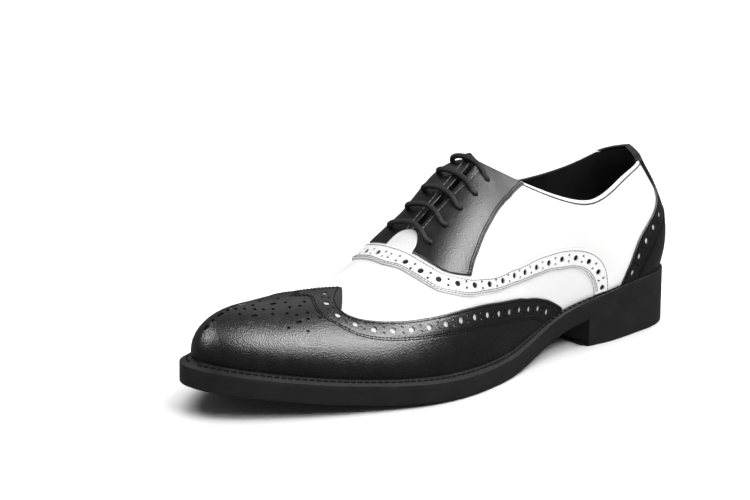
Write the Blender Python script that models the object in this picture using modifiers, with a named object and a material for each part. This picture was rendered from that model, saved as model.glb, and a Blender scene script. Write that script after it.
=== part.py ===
"""Left spectator shoe, a black and white full brogue oxford, standing empty on its sole.

The model is in metres with +Z up. The toe points along -Y and the outer side of the foot is +X.
The form functions below work in millimetres in shoe coordinates:
x to the outer side, s along the shoe from the back of the heel to the toe, z up from the floor.
"""
import bmesh
import bpy
import math
import numpy as np
from mathutils import Vector

MM = 0.001
COLLECTION = "spectator_shoe"

# Footprint: the middle of the shoe's box in shoe coordinates, which becomes the origin
MID_X = 0.79
MID_S = 151.23

# Outsole plan: length, roundness of both ends, and rows across the shoe
LENGTH = 304.0
TOE_ROUND = 61.3
HEEL_ROUND = 33.3
TOE_POWER = 2.03
HEEL_POWER = 2.1
#            s   outer  inner
PLAN = [(0, 28.2, -34.0),
        (30, 27.3, -34.0),
        (60, 31.2, -33.6),
        (90, 30.1, -29.0),
        (120, 37.6, -27.0),
        (150, 48.0, -32.0),
        (180, 54.6, -43.0),
        (205, 53.5, -50.9),
        (230, 45.6, -53.4),
        (255, 35.5, -50.5),
        (280, 27.9, -45.0),
        (304, 23.1, -40.0)]

# Sole in side view
HEEL_HEIGHT = 16.2
HEEL_BREAST = 75.2
ARCH_START = 53.2
ARCH_END = 152.0
SPRING_START = 165.2
TOE_SPRING = 14.1
EDGE_HEIGHT = 10.1
SEAT_HEIGHT = 13.0
WELT_THICK = 3.0
GAP = 0.3

# Feather line, where upper and welt meet: how far inside the outsole, and how far above its edge
#              s   inset  rise
FEATHER = [(0, 2.2, 0.4),
           (60, 1.6, 0.2),
           (120, 4.1, 1.7),
           (180, 6.3, 1.8),
           (240, 7.0, 1.9),
           (304, 6.6, 3.4)]

# Upper: the share t runs from the back seam (0) to the toe's middle (1) along the feather line
CORNER = 0.45
SLIT_END = 0.61
SLIT_CLOSING = 0.04
SLIT_HALF = 2.0
#              t    s      x outer  z outer  x inner  z inner
COLLAR = [(0.00, 14.6, -4.0, 93.2, -4.0, 93.2),
          (0.10, 19.7, 9.3, 88.4, -19.5, 88.6),
          (0.20, 36.1, 15.0, 83.0, -27.6, 81.8),
          (0.30, 65.5, 25.8, 77.7, -29.3, 78.5),
          (0.40, 99.4, 18.2, 84.8, -21.6, 85.7),
          (0.45, 131.4, 3.8, 101.4, -0.2, 101.4)]
#             t     s      x     z
RIDGE = [(0.45, 131.4, 1.8, 101.4),
         (0.50, 145.8, 4.5, 92.8),
         (0.56, 166.6, 5.1, 78.6),
         (0.62, 189.3, 5.0, 62.0),
         (0.68, 211.7, 2.9, 51.8),
         (0.75, 233.6, -0.8, 49.9),
         (0.82, 250.8, -4.3, 49.0),
         (0.90, 262.6, -6.4, 48.9),
         (1.00, 270.9, -7.2, 49.0)]

# Between these shares the section's top turns from the collar's lean to a vamp that arches over
VAMP_START = 0.40
VAMP_FULL = 0.56
LEAST_SPAN = 0.5
POLE_START = 0.975
NUDGE = 0.001
RIDGE_NUDGE = 0.004

# Sections: flare at the feather and lean at the top in degrees, fullness as shares, outer then inner
#             t   flare  flare  full  lean  lean  full  full
SECTION = [(0.0, 20.5, 20.5, 0.49, 10, 10, 0.32, 0.32),
           (0.1, 17.0, 15.9, 0.48, 27, 9, 0.30, 0.33),
           (0.2, 12.1, 10.6, 0.46, 19, 11, 0.32, 0.35),
           (0.3, 6.8, 4.6, 0.45, 19, 22, 0.36, 0.42),
           (0.4, 2.2, 0.6, 0.47, 35, 56, 0.41, 0.57),
           (0.5, 0.4, 2.2, 0.51, 64, 100, 0.48, 0.72),
           (0.6, 2.2, 3.6, 0.47, 83, 91, 0.53, 0.66),
           (0.7, 5.9, 6.5, 0.48, 88, 84, 0.55, 0.59),
           (0.8, 8.6, 7.0, 0.56, 89, 88, 0.56, 0.56),
           (0.9, 9.5, 6.0, 0.61, 88, 89, 0.55, 0.55),
           (1.0, 9.0, 9.0, 0.64, 88, 88, 0.55, 0.55)]

# Leather: the lining and body together, and the panels laid over them
WALL = 2.0
PANEL = 0.8
BODY_TOP = -1.1
BODY_LOW = BODY_TOP - WALL
PANEL_LOW = -0.3
PANEL_TOP = PANEL_LOW + PANEL
TAB_LOW = 0.9
INSOLE_CLEAR = 4.0
INSOLE_ABOVE = 1.0
TONGUE_THICK = 2.0
TONGUE_FOOT = 0.625
TONGUE_TOP = 0.465
TONGUE_SHARE = 0.22
TONGUE_NARROW = 0.45
TONGUE_NARROWING = 0.56
TONGUE_LENGTH = 13.0
TONGUE_TIP = (0.66, 0.5, 0.42, 0.3)
TONGUE_SINK = 6.5
TONGUE_CLEAR = 0.9
AXIS_HEIGHT = 40.0

# A panel starts just above the welt
PANEL_FOOT = 0.012

# Panel edges on the upper, as shares t along and v up a section; foot is the share at the feather
#                 t      v      foot
WING_EDGE = [(0.374, 0.030, 0.370),
             (0.400, 0.120, 0.400),
             (0.460, 0.200, 0.460),
             (0.530, 0.275, 0.530),
             (0.620, 0.415, 0.620),
             (0.690, 0.575, 0.675),
             (0.708, 0.650, 0.695),
             (0.715, 0.740, 0.710),
             (0.715, 0.830, 0.720),
             (0.700, 1.000, 0.735)]
COUNTER_EDGE = [(0.268, 0.030, 0.270),
                (0.242, 0.188, 0.242),
                (0.215, 0.375, 0.215),
                (0.147, 0.519, 0.147),
                (0.104, 0.620, 0.104),
                (0.088, 0.780, 0.080),
                (0.115, 1.000, 0.070)]
#            top t  top v  low t  low v
BAND_EDGE = [(0.608, 1.000, 0.634, 1.000),
             (0.600, 0.880, 0.620, 0.850),
             (0.590, 0.740, 0.606, 0.680),
             (0.578, 0.619, 0.590, 0.530),
             (0.560, 0.520, 0.568, 0.420),
             (0.540, 0.440, 0.545, 0.350),
             (0.510, 0.382, 0.510, 0.300),
             (0.470, 0.355, 0.470, 0.270),
             (0.422, 0.438, 0.425, 0.300),
             (0.393, 0.513, 0.388, 0.331),
             (0.367, 0.531, 0.360, 0.325),
             (0.338, 0.475, 0.340, 0.250),
             (0.315, 0.363, 0.328, 0.150),
             (0.302, 0.225, 0.323, 0.080),
             (0.296, 0.010, 0.320, 0.010)]
# Facing: its rear edge from the band up to the collar, and its foot from the slit to the rear edge
FACING_REAR = [(0.538, 0.450),
               (0.517, 0.537),
               (0.495, 0.638),
               (0.468, 0.705),
               (0.443, 0.785),
               (0.415, 0.995)]
FACING_FOOT = [(0.606, 0.995),
               (0.598, 0.880),
               (0.588, 0.740),
               (0.576, 0.626),
               (0.558, 0.527),
               (0.538, 0.450)]
FACING_TOP = (0.452, 0.995)

# Throat tab: a rounded leather piece that closes the foot of the slit
TAB_TOP = 0.577
TAB_FOOT = 0.606
TAB_SHARE = 0.115
TAB_LEAST = 0.012
TAB_POWER = 2.4

# Lace: a waxed round cord that lies in straight bars over the slit
LACE_WIDE = 2.6
LACE_ARCH = 4.0
LACE_POWER = 0.8
#           t      v
EYELETS = [(0.459, 0.895),
           (0.493, 0.868),
           (0.522, 0.845),
           (0.549, 0.830),
           (0.575, 0.822)]

# Facets: columns along a side, rows up the upper, and the rows of the smaller pieces
COLUMNS = 36
ROWS = 14
CAP_ROWS = 8
COUNTER_ROWS = 5
TOE_COLUMNS = 12

# Points closer than this, in metres, become one; a corner sharper than this many degrees stays sharp
WELD = 0.000005
LEATHER_WELD = 0.00002
SHARP_ANGLE = 40.0
END_SHARE = 0.004

BLACK = (0.012, 0.012, 0.013, 1.0)
WHITE = (0.86, 0.86, 0.84, 1.0)
RUBBER = (0.022, 0.022, 0.023, 1.0)
LINING = (0.018, 0.017, 0.017, 1.0)
LACE_BLACK = (0.01, 0.01, 0.01, 1.0)


def column(table, number):
    """One named column of a table of rows."""
    return np.array([row[number] for row in table], float)


def curve_through(xs, ys, x):
    """A natural cubic curve through the rows of a table."""
    xs = np.asarray(xs, float)
    ys = np.asarray(ys, float)
    count = len(xs)
    step = np.diff(xs)
    matrix = np.eye(count)
    right = np.zeros(count)
    for i in range(1, count - 1):
        matrix[i, i - 1] = step[i - 1]
        matrix[i, i] = 2 * (step[i - 1] + step[i])
        matrix[i, i + 1] = step[i]
        right[i] = 3 * ((ys[i + 1] - ys[i]) / step[i] - (ys[i] - ys[i - 1]) / step[i - 1])
    c = np.linalg.solve(matrix, right)
    b = np.diff(ys) / step - step * (2 * c[:-1] + c[1:]) / 3
    d = np.diff(c) / (3 * step)
    x = np.asarray(x, float)
    k = np.clip(np.searchsorted(xs, x) - 1, 0, count - 2)
    r = x - xs[k]
    return ys[k] + b[k] * r + c[k] * r * r + d[k] * r ** 3


def ease(start, end, x):
    """A smooth step from 0 at start to 1 at end."""
    q = np.clip((x - start) / (end - start), 0, 1)
    return q * q * (3 - 2 * q)


def round_end(share, power):
    """How the half width grows from nothing at a rounded end."""
    q = np.clip(share, 0, 1)
    return (1 - (1 - q) ** power) ** (1 / power)


def under(s):
    """Height of the outsole's underside, over the heel, arch, tread and toe spring."""
    arch = ease(ARCH_END, ARCH_START, s)
    toe = np.clip((s - SPRING_START) / (LENGTH - SPRING_START), 0, 1)
    return HEEL_HEIGHT * arch + TOE_SPRING * toe ** 2


def edge_top(s):
    """Height of the top edge of the sole's side."""
    seat = 1 - ease(20, 90, s)
    return under(s) + EDGE_HEIGHT + (SEAT_HEIGHT - EDGE_HEIGHT) * seat


def ring(t, side, share, extra):
    """x and s of a line round the sole: share 0 is its edge, 1 is the feather line, extra is further in."""
    t = np.asarray(t, float)
    first = share * FEATHER[0][1] + extra
    last = LENGTH - share * FEATHER[-1][1] - extra
    s = first + (last - first) * (1 - np.cos(math.pi * t)) / 2
    inset = share * np.interp(s, column(FEATHER, 0), column(FEATHER, 1)) + extra
    outer = curve_through(column(PLAN, 0), column(PLAN, 1), s)
    inner = curve_through(column(PLAN, 0), column(PLAN, 2), s)
    half = (outer - inner) / 2 - inset
    half = half * round_end((s - first) / (HEEL_ROUND - first), HEEL_POWER)
    half = half * round_end((last - s) / (TOE_ROUND - (LENGTH - last)), TOE_POWER)
    return (outer + inner) / 2 + side * half, s


def feather(t, side):
    """The line where a section starts, on the welt."""
    x, s = ring(t, side, 1, 0)
    rise = np.interp(s, column(FEATHER, 0), column(FEATHER, 2))
    return np.stack([x, s, edge_top(s) + rise], -1)


def top_line(t, side):
    """The line where a section ends: the collar, then the slit's edge, then the vamp's ridge."""
    t = np.asarray(t, float)
    on_collar = t <= CORNER
    a = np.where(on_collar, t, CORNER)
    b = np.where(on_collar, CORNER, t)
    number = 2 if side > 0 else 4
    ct = column(COLLAR, 0)
    rt = column(RIDGE, 0)
    half = SLIT_HALF * (1 - ease(SLIT_END - SLIT_CLOSING, SLIT_END, b))
    x = np.where(on_collar, curve_through(ct, column(COLLAR, number), a),
                 curve_through(rt, column(RIDGE, 2), b) + side * half)
    s = np.where(on_collar, curve_through(ct, column(COLLAR, 1), a),
                 curve_through(rt, column(RIDGE, 1), b))
    z = np.where(on_collar, curve_through(ct, column(COLLAR, number + 1), a),
                 curve_through(rt, column(RIDGE, 3), b))
    return np.stack([x, s, z], -1)


def unit(vectors):
    """Vectors of length one."""
    return vectors / np.maximum(np.linalg.norm(vectors, axis=-1, keepdims=True), 1e-9)


def form(t, v, side):
    """The shoe's outer form: shares t along and v up a section of one side, arrays of one shape."""
    t = np.asarray(t, float)
    v = np.asarray(v, float)[..., None]
    low = feather(t, side)
    high = top_line(t, side)
    along = feather(np.clip(t + NUDGE, 0, 1), side) - feather(np.clip(t - NUDGE, 0, 1), side)
    out = unit(np.stack([along[..., 1], -along[..., 0], 0 * t], -1) * side)
    out = np.where((t <= NUDGE)[..., None], np.array([0.0, -1.0, 0.0]), out)
    out = np.where((t >= 1 - NUDGE)[..., None], np.array([0.0, 1.0, 0.0]), out)
    shares = column(SECTION, 0)
    inner = side < 0
    flare = np.radians(curve_through(shares, column(SECTION, 2 if inner else 1), t))[..., None]
    full_low = curve_through(shares, column(SECTION, 3), t)[..., None]
    lean = np.radians(curve_through(shares, column(SECTION, 5 if inner else 4), t))[..., None]
    full_high = curve_through(shares, column(SECTION, 7 if inner else 6), t)[..., None]
    up = np.array([0.0, 0.0, 1.0])
    height = (high - low)[..., 2:3]
    low_handle = low + full_low * height * (np.cos(flare) * up + np.sin(flare) * out)
    on_ridge = np.clip(t, CORNER, 1)
    next_point = top_line(np.clip(on_ridge + RIDGE_NUDGE, CORNER, 1), 0)
    run = unit(next_point - top_line(np.clip(on_ridge - RIDGE_NUDGE, CORNER, 1), 0))
    across = np.abs(low - high)[..., 0] * (1 - ease(POLE_START, 1, t))
    ahead = np.maximum((low - high)[..., 1], 0)
    turn = np.arctan2(ahead, across)[..., None]
    over = np.cos(turn) * np.array([side, 0.0, 0.0]) + np.sin(turn) * run
    blend = ease(VAMP_START, VAMP_FULL, t)[..., None]
    down = (1 - blend) * (np.sin(lean) * out - np.cos(lean) * up)
    down = unit(down + blend * (np.sin(lean) * over - np.cos(lean) * up))
    width = np.linalg.norm((high - low)[..., :2], axis=-1, keepdims=True)
    span = (1 - blend) * height + blend * np.maximum(width, LEAST_SPAN * height)
    high_handle = high + full_high * span * down
    w = 1 - v
    return w ** 3 * low + 3 * w * w * v * low_handle + 3 * w * v * v * high_handle + v ** 3 * high


def place(points):
    """Shoe coordinates in millimetres to the model's metres."""
    p = np.asarray(points, float)
    return np.stack([p[..., 0] - MID_X, MID_S - p[..., 1], p[..., 2]], -1) * MM


def material(name, colour, roughness):
    """One material of the part."""
    found = bpy.data.materials.get(name)
    if found:
        return found
    made = bpy.data.materials.new(name)
    made.use_nodes = True
    shader = made.node_tree.nodes["Principled BSDF"]
    shader.inputs["Base Color"].default_value = colour
    shader.inputs["Roughness"].default_value = roughness
    shader.inputs["Metallic"].default_value = 0.0
    made.diffuse_color = colour
    return made


def new_object(name, mesh_data, surface):
    """An object of the shoe with its material."""
    made = bpy.data.objects.new(name, mesh_data)
    bpy.data.collections[COLLECTION].objects.link(made)
    made.data.materials.append(surface)
    return made


def sheet(name, grids, surface, low, high):
    """A leather sheet between two distances from the form, over grids of points on the form."""
    bm = bmesh.new()
    for points, flip in grids:
        world = place(points)
        verts = [[bm.verts.new(p) for p in line] for line in world]
        for i in range(len(verts) - 1):
            for j in range(len(verts[0]) - 1):
                quad = [verts[i][j], verts[i + 1][j], verts[i + 1][j + 1], verts[i][j + 1]]
                bm.faces.new(quad[::-1] if flip else quad)
    bmesh.ops.remove_doubles(bm, verts=bm.verts, dist=LEATHER_WELD)
    bmesh.ops.dissolve_degenerate(bm, edges=bm.edges, dist=LEATHER_WELD)
    bm.normal_update()
    middle = Vector((0, 0, AXIS_HEIGHT * MM))
    outward = 0.0
    for face in bm.faces:
        outward += (face.calc_center_median() - middle).dot(face.normal) * face.calc_area()
    if outward < 0:
        bmesh.ops.reverse_faces(bm, faces=bm.faces)
        bm.normal_update()
    data = bpy.data.meshes.new(name)
    bm.to_mesh(data)
    bm.free()
    made = new_object(name, data, surface)
    solid = made.modifiers.new("leather", "SOLIDIFY")
    solid.thickness = (high - low) * MM
    solid.offset = (low + high) / (high - low)
    solid.use_even_offset = False
    data.shade_smooth()
    return made


def loft(name, rings, surface):
    """A closed body through closed rings of equal length, the last joined to the first."""
    bm = bmesh.new()
    lines = [[bm.verts.new(p) for p in place(points)] for points in rings]
    for a, b in zip(lines, lines[1:] + lines[:1]):
        for i in range(len(a)):
            k = (i + 1) % len(a)
            bm.faces.new([a[i], a[k], b[k], b[i]])
    bmesh.ops.remove_doubles(bm, verts=bm.verts, dist=WELD)
    bmesh.ops.recalc_face_normals(bm, faces=bm.faces)
    data = bpy.data.meshes.new(name)
    bm.to_mesh(data)
    bm.free()
    made = new_object(name, data, surface)
    data.set_sharp_from_angle(angle=math.radians(SHARP_ANGLE))
    return made


def slab(name, across, low, high, surface):
    """A closed body between two heights; across holds rows of x inner, x outer and s."""
    bm = bmesh.new()
    rows = []
    for inner, outer, s in across:
        z0 = float(low(s))
        z1 = float(high(s))
        corners = [(inner, s, z0), (outer, s, z0), (outer, s, z1), (inner, s, z1)]
        rows.append([bm.verts.new(p) for p in place(corners)])
    for a, b in zip(rows, rows[1:]):
        for i in range(4):
            k = (i + 1) % 4
            bm.faces.new([a[i], a[k], b[k], b[i]])
    bm.faces.new(rows[0])
    bm.faces.new(rows[-1])
    bmesh.ops.remove_doubles(bm, verts=bm.verts, dist=WELD)
    bmesh.ops.dissolve_degenerate(bm, edges=bm.edges, dist=WELD)
    bmesh.ops.recalc_face_normals(bm, faces=bm.faces)
    data = bpy.data.meshes.new(name)
    bm.to_mesh(data)
    bm.free()
    made = new_object(name, data, surface)
    data.set_sharp_from_angle(angle=math.radians(SHARP_ANGLE))
    return made


def shares(count):
    """Even shares from 0 to 1."""
    return np.linspace(0, 1, count + 1)


def stations(share, extra, last=None):
    """Rows across the shoe for a slab, from just inside the heel's back to just inside the toe."""
    t = shares(COLUMNS)
    t[0] = END_SHARE
    t[-1] = 1 - END_SHARE
    outer, s = ring(t, 1, share, extra)
    inner, s = ring(t, -1, share, extra)
    rows = [row for row in zip(inner, outer, s) if last is None or row[2] < last - 1]
    if last is not None:
        at = np.interp(last, s, t)
        rows.append((float(ring(at, -1, share, extra)[0]), float(ring(at, 1, share, extra)[0]), last))
    return rows


def make_sole():
    """Heel block, outsole, welt and insole."""
    rubber = material("black_rubber", RUBBER, 0.5)
    slab("heel", stations(0, 0, HEEL_BREAST), lambda s: 0.0, lambda s: under(s) - GAP, rubber)
    slab("outsole", stations(0, 0), under, lambda s: edge_top(s) - WELT_THICK - GAP, rubber)
    around = np.concatenate([shares(COLUMNS)[:-1], shares(COLUMNS)[::-1][:-1]])
    sides = np.array([1] * COLUMNS + [-1] * COLUMNS)

    def welt_line(share, extra, lift):
        points = []
        for t, side in zip(around, sides):
            x, s = ring(t, side, share, extra)
            rise = np.interp(s, column(FEATHER, 0), column(FEATHER, 2))
            points.append((float(x), float(s), float(edge_top(s) + lift(rise))))
        return points

    inside = -BODY_LOW
    loft("welt", [welt_line(0, 0, lambda rise: -WELT_THICK),
                  welt_line(0, 0, lambda rise: 0.0),
                  welt_line(1, 0, lambda rise: rise),
                  welt_line(1, inside, lambda rise: rise),
                  welt_line(1, inside, lambda rise: -WELT_THICK)],
         material("black_welt", RUBBER, 0.55))

    def insole_top(s):
        rise = np.interp(s, column(FEATHER, 0), column(FEATHER, 2))
        return edge_top(s) + rise + INSOLE_ABOVE

    slab("insole", stations(1, INSOLE_CLEAR), lambda s: edge_top(s) - WELT_THICK, insole_top,
         material("black_insole", LINING, 0.7))


def make_upper():
    """The hollow upper: vamp and quarters in one wall, open at the collar, slit and underneath."""
    grids = []
    for side in (1, -1):
        t, v = np.meshgrid(shares(COLUMNS), shares(ROWS), indexing="ij")
        points = form(t, v, side)
        points[:, 0, 2] += GAP
        grids.append((points, side < 0))
    return sheet("upper", grids, material("white_leather", WHITE, 0.4), BODY_LOW, BODY_TOP)


def edge_columns(edge, top_end, foot_end, count):
    """Columns of a panel from its foot to its edge, then along the top line to a last share."""
    rows = [(t, v, foot) for t, v, foot in edge]
    t0, v0, f0 = rows[-1]
    for k in range(1, count + 1):
        q = k / count
        rows.append((t0 + (top_end - t0) * q, 1.0, f0 + (foot_end - f0) * q))
    return rows


def refine(rows, count):
    """Rows between the rows of a table, on smooth curves."""
    at = np.linspace(0, len(rows) - 1, (len(rows) - 1) * count + 1)
    numbers = np.arange(len(rows))
    return np.stack([curve_through(numbers, column(rows, k), at) for k in range(len(rows[0]))], -1)


def panel_grid(columns, side, rows):
    """Points of a panel whose columns run from the feather up to its edge."""
    table = np.array(columns, float)
    q = shares(rows)[None, :]
    foot = table[:, 2][:, None]
    t = foot + (table[:, 0][:, None] - foot) * q
    v = PANEL_FOOT + (table[:, 1][:, None] - PANEL_FOOT) * q
    return form(t, v, side)


def make_wing_cap():
    """The toe cap with its winged edge, from the waist on one side round the toe to the other."""
    columns = edge_columns(refine(WING_EDGE, 2), 1.0, 1.0, TOE_COLUMNS)
    grids = [(panel_grid(columns, side, CAP_ROWS), side < 0) for side in (1, -1)]
    return sheet("wing_cap", grids, material("black_leather", BLACK, 0.3), PANEL_LOW, PANEL_TOP)


def make_counter():
    """The heel counter, which runs up the back seam to the collar as a stay."""
    columns = edge_columns(refine(COUNTER_EDGE, 2), 0.0, 0.0, 3)
    grids = [(panel_grid(columns, side, COUNTER_ROWS), side > 0) for side in (1, -1)]
    return sheet("heel_counter", grids, material("black_leather", BLACK, 0.3), PANEL_LOW, PANEL_TOP)


def make_band():
    """The white brogued band: round the throat and down both sides to the waist."""
    table = refine(BAND_EDGE, 2)
    q = shares(2)[None, :]
    t = table[:, 0:1] + (table[:, 2:3] - table[:, 0:1]) * q
    v = table[:, 1:2] + (table[:, 3:4] - table[:, 1:2]) * q
    grids = [(form(t, v, side), side > 0) for side in (1, -1)]
    return sheet("brogue_band", grids, material("white_leather", WHITE, 0.4), PANEL_LOW, PANEL_TOP)


def facing_shares(count_across, count_up):
    """A patch of shares between the slit, the collar, the rear edge and the foot of a facing."""
    p = shares(count_across)[:, None, None]
    q = shares(count_up)[None, :, None]

    def walk(points, share):
        table = np.array(points, float)
        at = share.ravel() * (len(points) - 1)
        return np.stack([np.interp(at, np.arange(len(points)), table[:, k]) for k in (0, 1)], -1)

    front = np.array(FACING_FOOT[0])
    back = np.array(FACING_FOOT[-1])
    front_top = np.array(FACING_TOP)
    back_top = np.array(FACING_REAR[-1])
    foot = walk(FACING_FOOT, p)[:, None, :]
    rear = walk(FACING_REAR, q)[None, :, :]
    slit = walk([front, front_top], q)[None, :, :]
    top = walk([front_top, back_top], p)[:, None, :]
    low_line = (1 - p) * front + p * back
    high_line = (1 - p) * front_top + p * back_top
    return (1 - q) * (foot - low_line) + q * (top - high_line) + (1 - p) * slit + p * rear


def make_facings():
    """The two black facings that carry the eyelets."""
    patch = facing_shares(10, 15)
    for name, side in (("facing_lateral", 1), ("facing_medial", -1)):
        points = form(patch[..., 0], patch[..., 1], side)
        sheet(name, [(points, side > 0)], material("black_leather", BLACK, 0.3), PANEL_LOW, PANEL_TOP)


def make_tab():
    """The rounded tab over the foot of the slit."""
    grids = []
    for side in (1, -1):
        p = shares(5)[:, None]
        q = shares(5)[None, :]
        reach = TAB_SHARE * np.sqrt(np.clip(1 - (1 - p) ** TAB_POWER, 0, 1))
        t = TAB_TOP + (TAB_FOOT - TAB_TOP) * p + 0 * q
        v = 1 - np.maximum(reach, TAB_LEAST) * q
        points = form(t, v, side)
        points[:, 0, 0] = curve_through(column(RIDGE, 0), column(RIDGE, 2), t[:, 0])
        grids.append((points, side < 0))
    return sheet("throat_tab", grids, material("white_leather", WHITE, 0.4), TAB_LOW, TAB_LOW + PANEL)


def make_tongue():
    """The tongue under the facings, which ends a little above the collar's front."""
    rows = []
    for t in np.linspace(TONGUE_FOOT, TONGUE_TOP, 9):
        reach = TONGUE_SHARE * (1 - TONGUE_NARROW * ease(TONGUE_NARROWING, TONGUE_TOP, t))
        v = np.linspace(1 - reach, 1, 5)
        outer = form(np.full(5, t), v, 1)
        inner = form(np.full(5, t), v, -1)
        middle = (outer[-1:] + inner[-1:]) / 2
        rows.append(np.concatenate([outer, middle, inner[::-1]]))
    last = rows[-1]
    centre = last[5]
    step = unit(centre - rows[-2][5])
    for k, narrow in enumerate(TONGUE_TIP, 1):
        share = k / len(TONGUE_TIP)
        moved = step * TONGUE_LENGTH * share + np.array([0, 0, -TONGUE_SINK * share])
        rows.append(centre + (last - centre) * narrow + moved)
    top = BODY_LOW - TONGUE_CLEAR
    return sheet("tongue", [(np.array(rows), False)], material("black_lining", LINING, 0.5),
                 top - TONGUE_THICK, top)


def make_lace():
    """Five bars of the lace, each bowed up between its two eyelets."""
    black = material("black_lace", LACE_BLACK, 0.6)
    clear = PANEL_TOP + GAP + LACE_WIDE / 2
    for number, (t, v) in enumerate(EYELETS, 1):
        ends = []
        for side in (1, -1):
            here = form(np.array(t), np.array(v), side)
            ahead = form(np.array(t + 0.002), np.array(v), side) - here
            above = form(np.array(t), np.array(v + 0.01), side) - here
            normal = unit(np.cross(ahead, above) * side)
            ends.append((here, normal))
        path = []
        for q in np.linspace(0, 1, 9):
            (a, na), (b, nb) = ends
            base = a + (b - a) * q
            lift = clear + LACE_ARCH * math.sin(math.pi * q) ** LACE_POWER
            crown = form(np.array(t), np.array(1.0), 1)
            bow = (crown[2] - (a[2] + b[2]) / 2) * (1 - (2 * q - 1) ** 2)
            normal = unit(na * (1 - q) + nb * q)
            path.append(base + normal * lift + np.array([0, 0, bow]))
        line = bpy.data.curves.new("lace_bar_%d" % number, "CURVE")
        line.dimensions = "3D"
        line.bevel_depth = LACE_WIDE / 2 * MM
        line.bevel_resolution = 2
        line.use_fill_caps = True
        spline = line.splines.new("POLY")
        spline.points.add(len(path) - 1)
        for point, p in zip(spline.points, place(path)):
            point.co = (*p, 1)
        new_object("lace_bar_%d" % number, line, black)


def main():
    for old in list(bpy.data.objects):
        bpy.data.objects.remove(old, do_unlink=True)
    group = bpy.data.collections.new(COLLECTION)
    bpy.context.scene.collection.children.link(group)
    make_sole()
    make_upper()
    make_wing_cap()
    make_counter()
    make_band()
    make_facings()
    make_tab()
    make_tongue()
    make_lace()


main()
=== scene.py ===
"""Final looks of the left spectator shoe: leather panels, punched holes, stitches, lace, sole and light.

The form functions work in millimetres in shoe coordinates:
x to the outer side, s along the shoe from the back of the heel to the toe, z up from the floor.
"""
import math

import bmesh
import bpy
import numpy as np
from mathutils import Matrix, Vector
from mathutils.kdtree import KDTree


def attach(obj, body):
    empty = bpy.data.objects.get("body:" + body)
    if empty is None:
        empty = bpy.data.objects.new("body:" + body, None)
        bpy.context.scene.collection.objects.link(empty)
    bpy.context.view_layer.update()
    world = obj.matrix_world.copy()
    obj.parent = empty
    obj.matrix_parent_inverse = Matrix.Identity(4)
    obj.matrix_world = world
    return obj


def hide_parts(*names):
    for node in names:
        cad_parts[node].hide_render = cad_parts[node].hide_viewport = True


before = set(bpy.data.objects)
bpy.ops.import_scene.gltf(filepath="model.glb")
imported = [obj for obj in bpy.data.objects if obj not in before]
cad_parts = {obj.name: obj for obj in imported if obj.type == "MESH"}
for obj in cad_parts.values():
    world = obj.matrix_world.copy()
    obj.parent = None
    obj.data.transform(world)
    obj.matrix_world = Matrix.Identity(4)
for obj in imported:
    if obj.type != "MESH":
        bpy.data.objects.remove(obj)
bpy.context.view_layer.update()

# A millimetre in metres, the model's middle in shoe coordinates, and the outer and inner side
MM = 0.001
MID_X = 0.79
MID_S = 151.23
SIDES = (1, -1)

# Sole plan and side view
LENGTH = 304.0
TOE_ROUND = 61.3
HEEL_ROUND = 33.3
TOE_POWER = 2.03
HEEL_POWER = 2.1
#        s   outer  inner
PLAN = [
    (0, 28.2, -34.0),
    (30, 27.3, -34.0),
    (60, 31.2, -33.6),
    (90, 30.1, -29.0),
    (120, 37.6, -27.0),
    (150, 48.0, -32.0),
    (180, 54.6, -43.0),
    (205, 53.5, -50.9),
    (230, 45.6, -53.4),
    (255, 35.5, -50.5),
    (280, 27.9, -45.0),
    (304, 23.1, -40.0),
]
HEEL_HEIGHT = 16.2
HEEL_BREAST = 75.2
ARCH_START = 53.2
ARCH_END = 152.0
SPRING_START = 165.2
TOE_SPRING = 14.1
EDGE_HEIGHT = 10.1
SEAT_HEIGHT = 13.0
SEAT_END = (20, 90)
WELT_THICK = 3.0
#       s   inset  rise
FEATHER = [
    (0, 2.2, 0.4),
    (60, 1.6, 0.2),
    (120, 4.1, 1.7),
    (180, 6.3, 1.8),
    (240, 7.0, 1.9),
    (304, 6.6, 3.4),
]

# Upper's form
CORNER = 0.45
SLIT_END = 0.61
SLIT_CLOSING = 0.04
SLIT_HALF = 2.0
#        t    s      x outer  z outer  x inner  z inner
COLLAR = [
    (0.00, 14.6, -4.0, 93.2, -4.0, 93.2),
    (0.10, 19.7, 9.3, 88.4, -19.5, 88.6),
    (0.20, 36.1, 15.0, 83.0, -27.6, 81.8),
    (0.30, 65.5, 25.8, 77.7, -29.3, 78.5),
    (0.40, 99.4, 18.2, 84.8, -21.6, 85.7),
    (0.45, 131.4, 3.8, 101.4, -0.2, 101.4),
]
#        t     s      x     z
RIDGE = [
    (0.45, 131.4, 1.8, 101.4),
    (0.50, 145.8, 4.5, 92.8),
    (0.56, 166.6, 5.1, 78.6),
    (0.62, 189.3, 5.0, 62.0),
    (0.68, 211.7, 2.9, 51.8),
    (0.75, 233.6, -0.8, 49.9),
    (0.82, 250.8, -4.3, 49.0),
    (0.90, 262.6, -6.4, 48.9),
    (1.00, 270.9, -7.2, 49.0),
]
VAMP_START = 0.40
VAMP_FULL = 0.56
LEAST_SPAN = 0.5
POLE_START = 0.975
NUDGE = 0.001
RIDGE_NUDGE = 0.004
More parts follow.
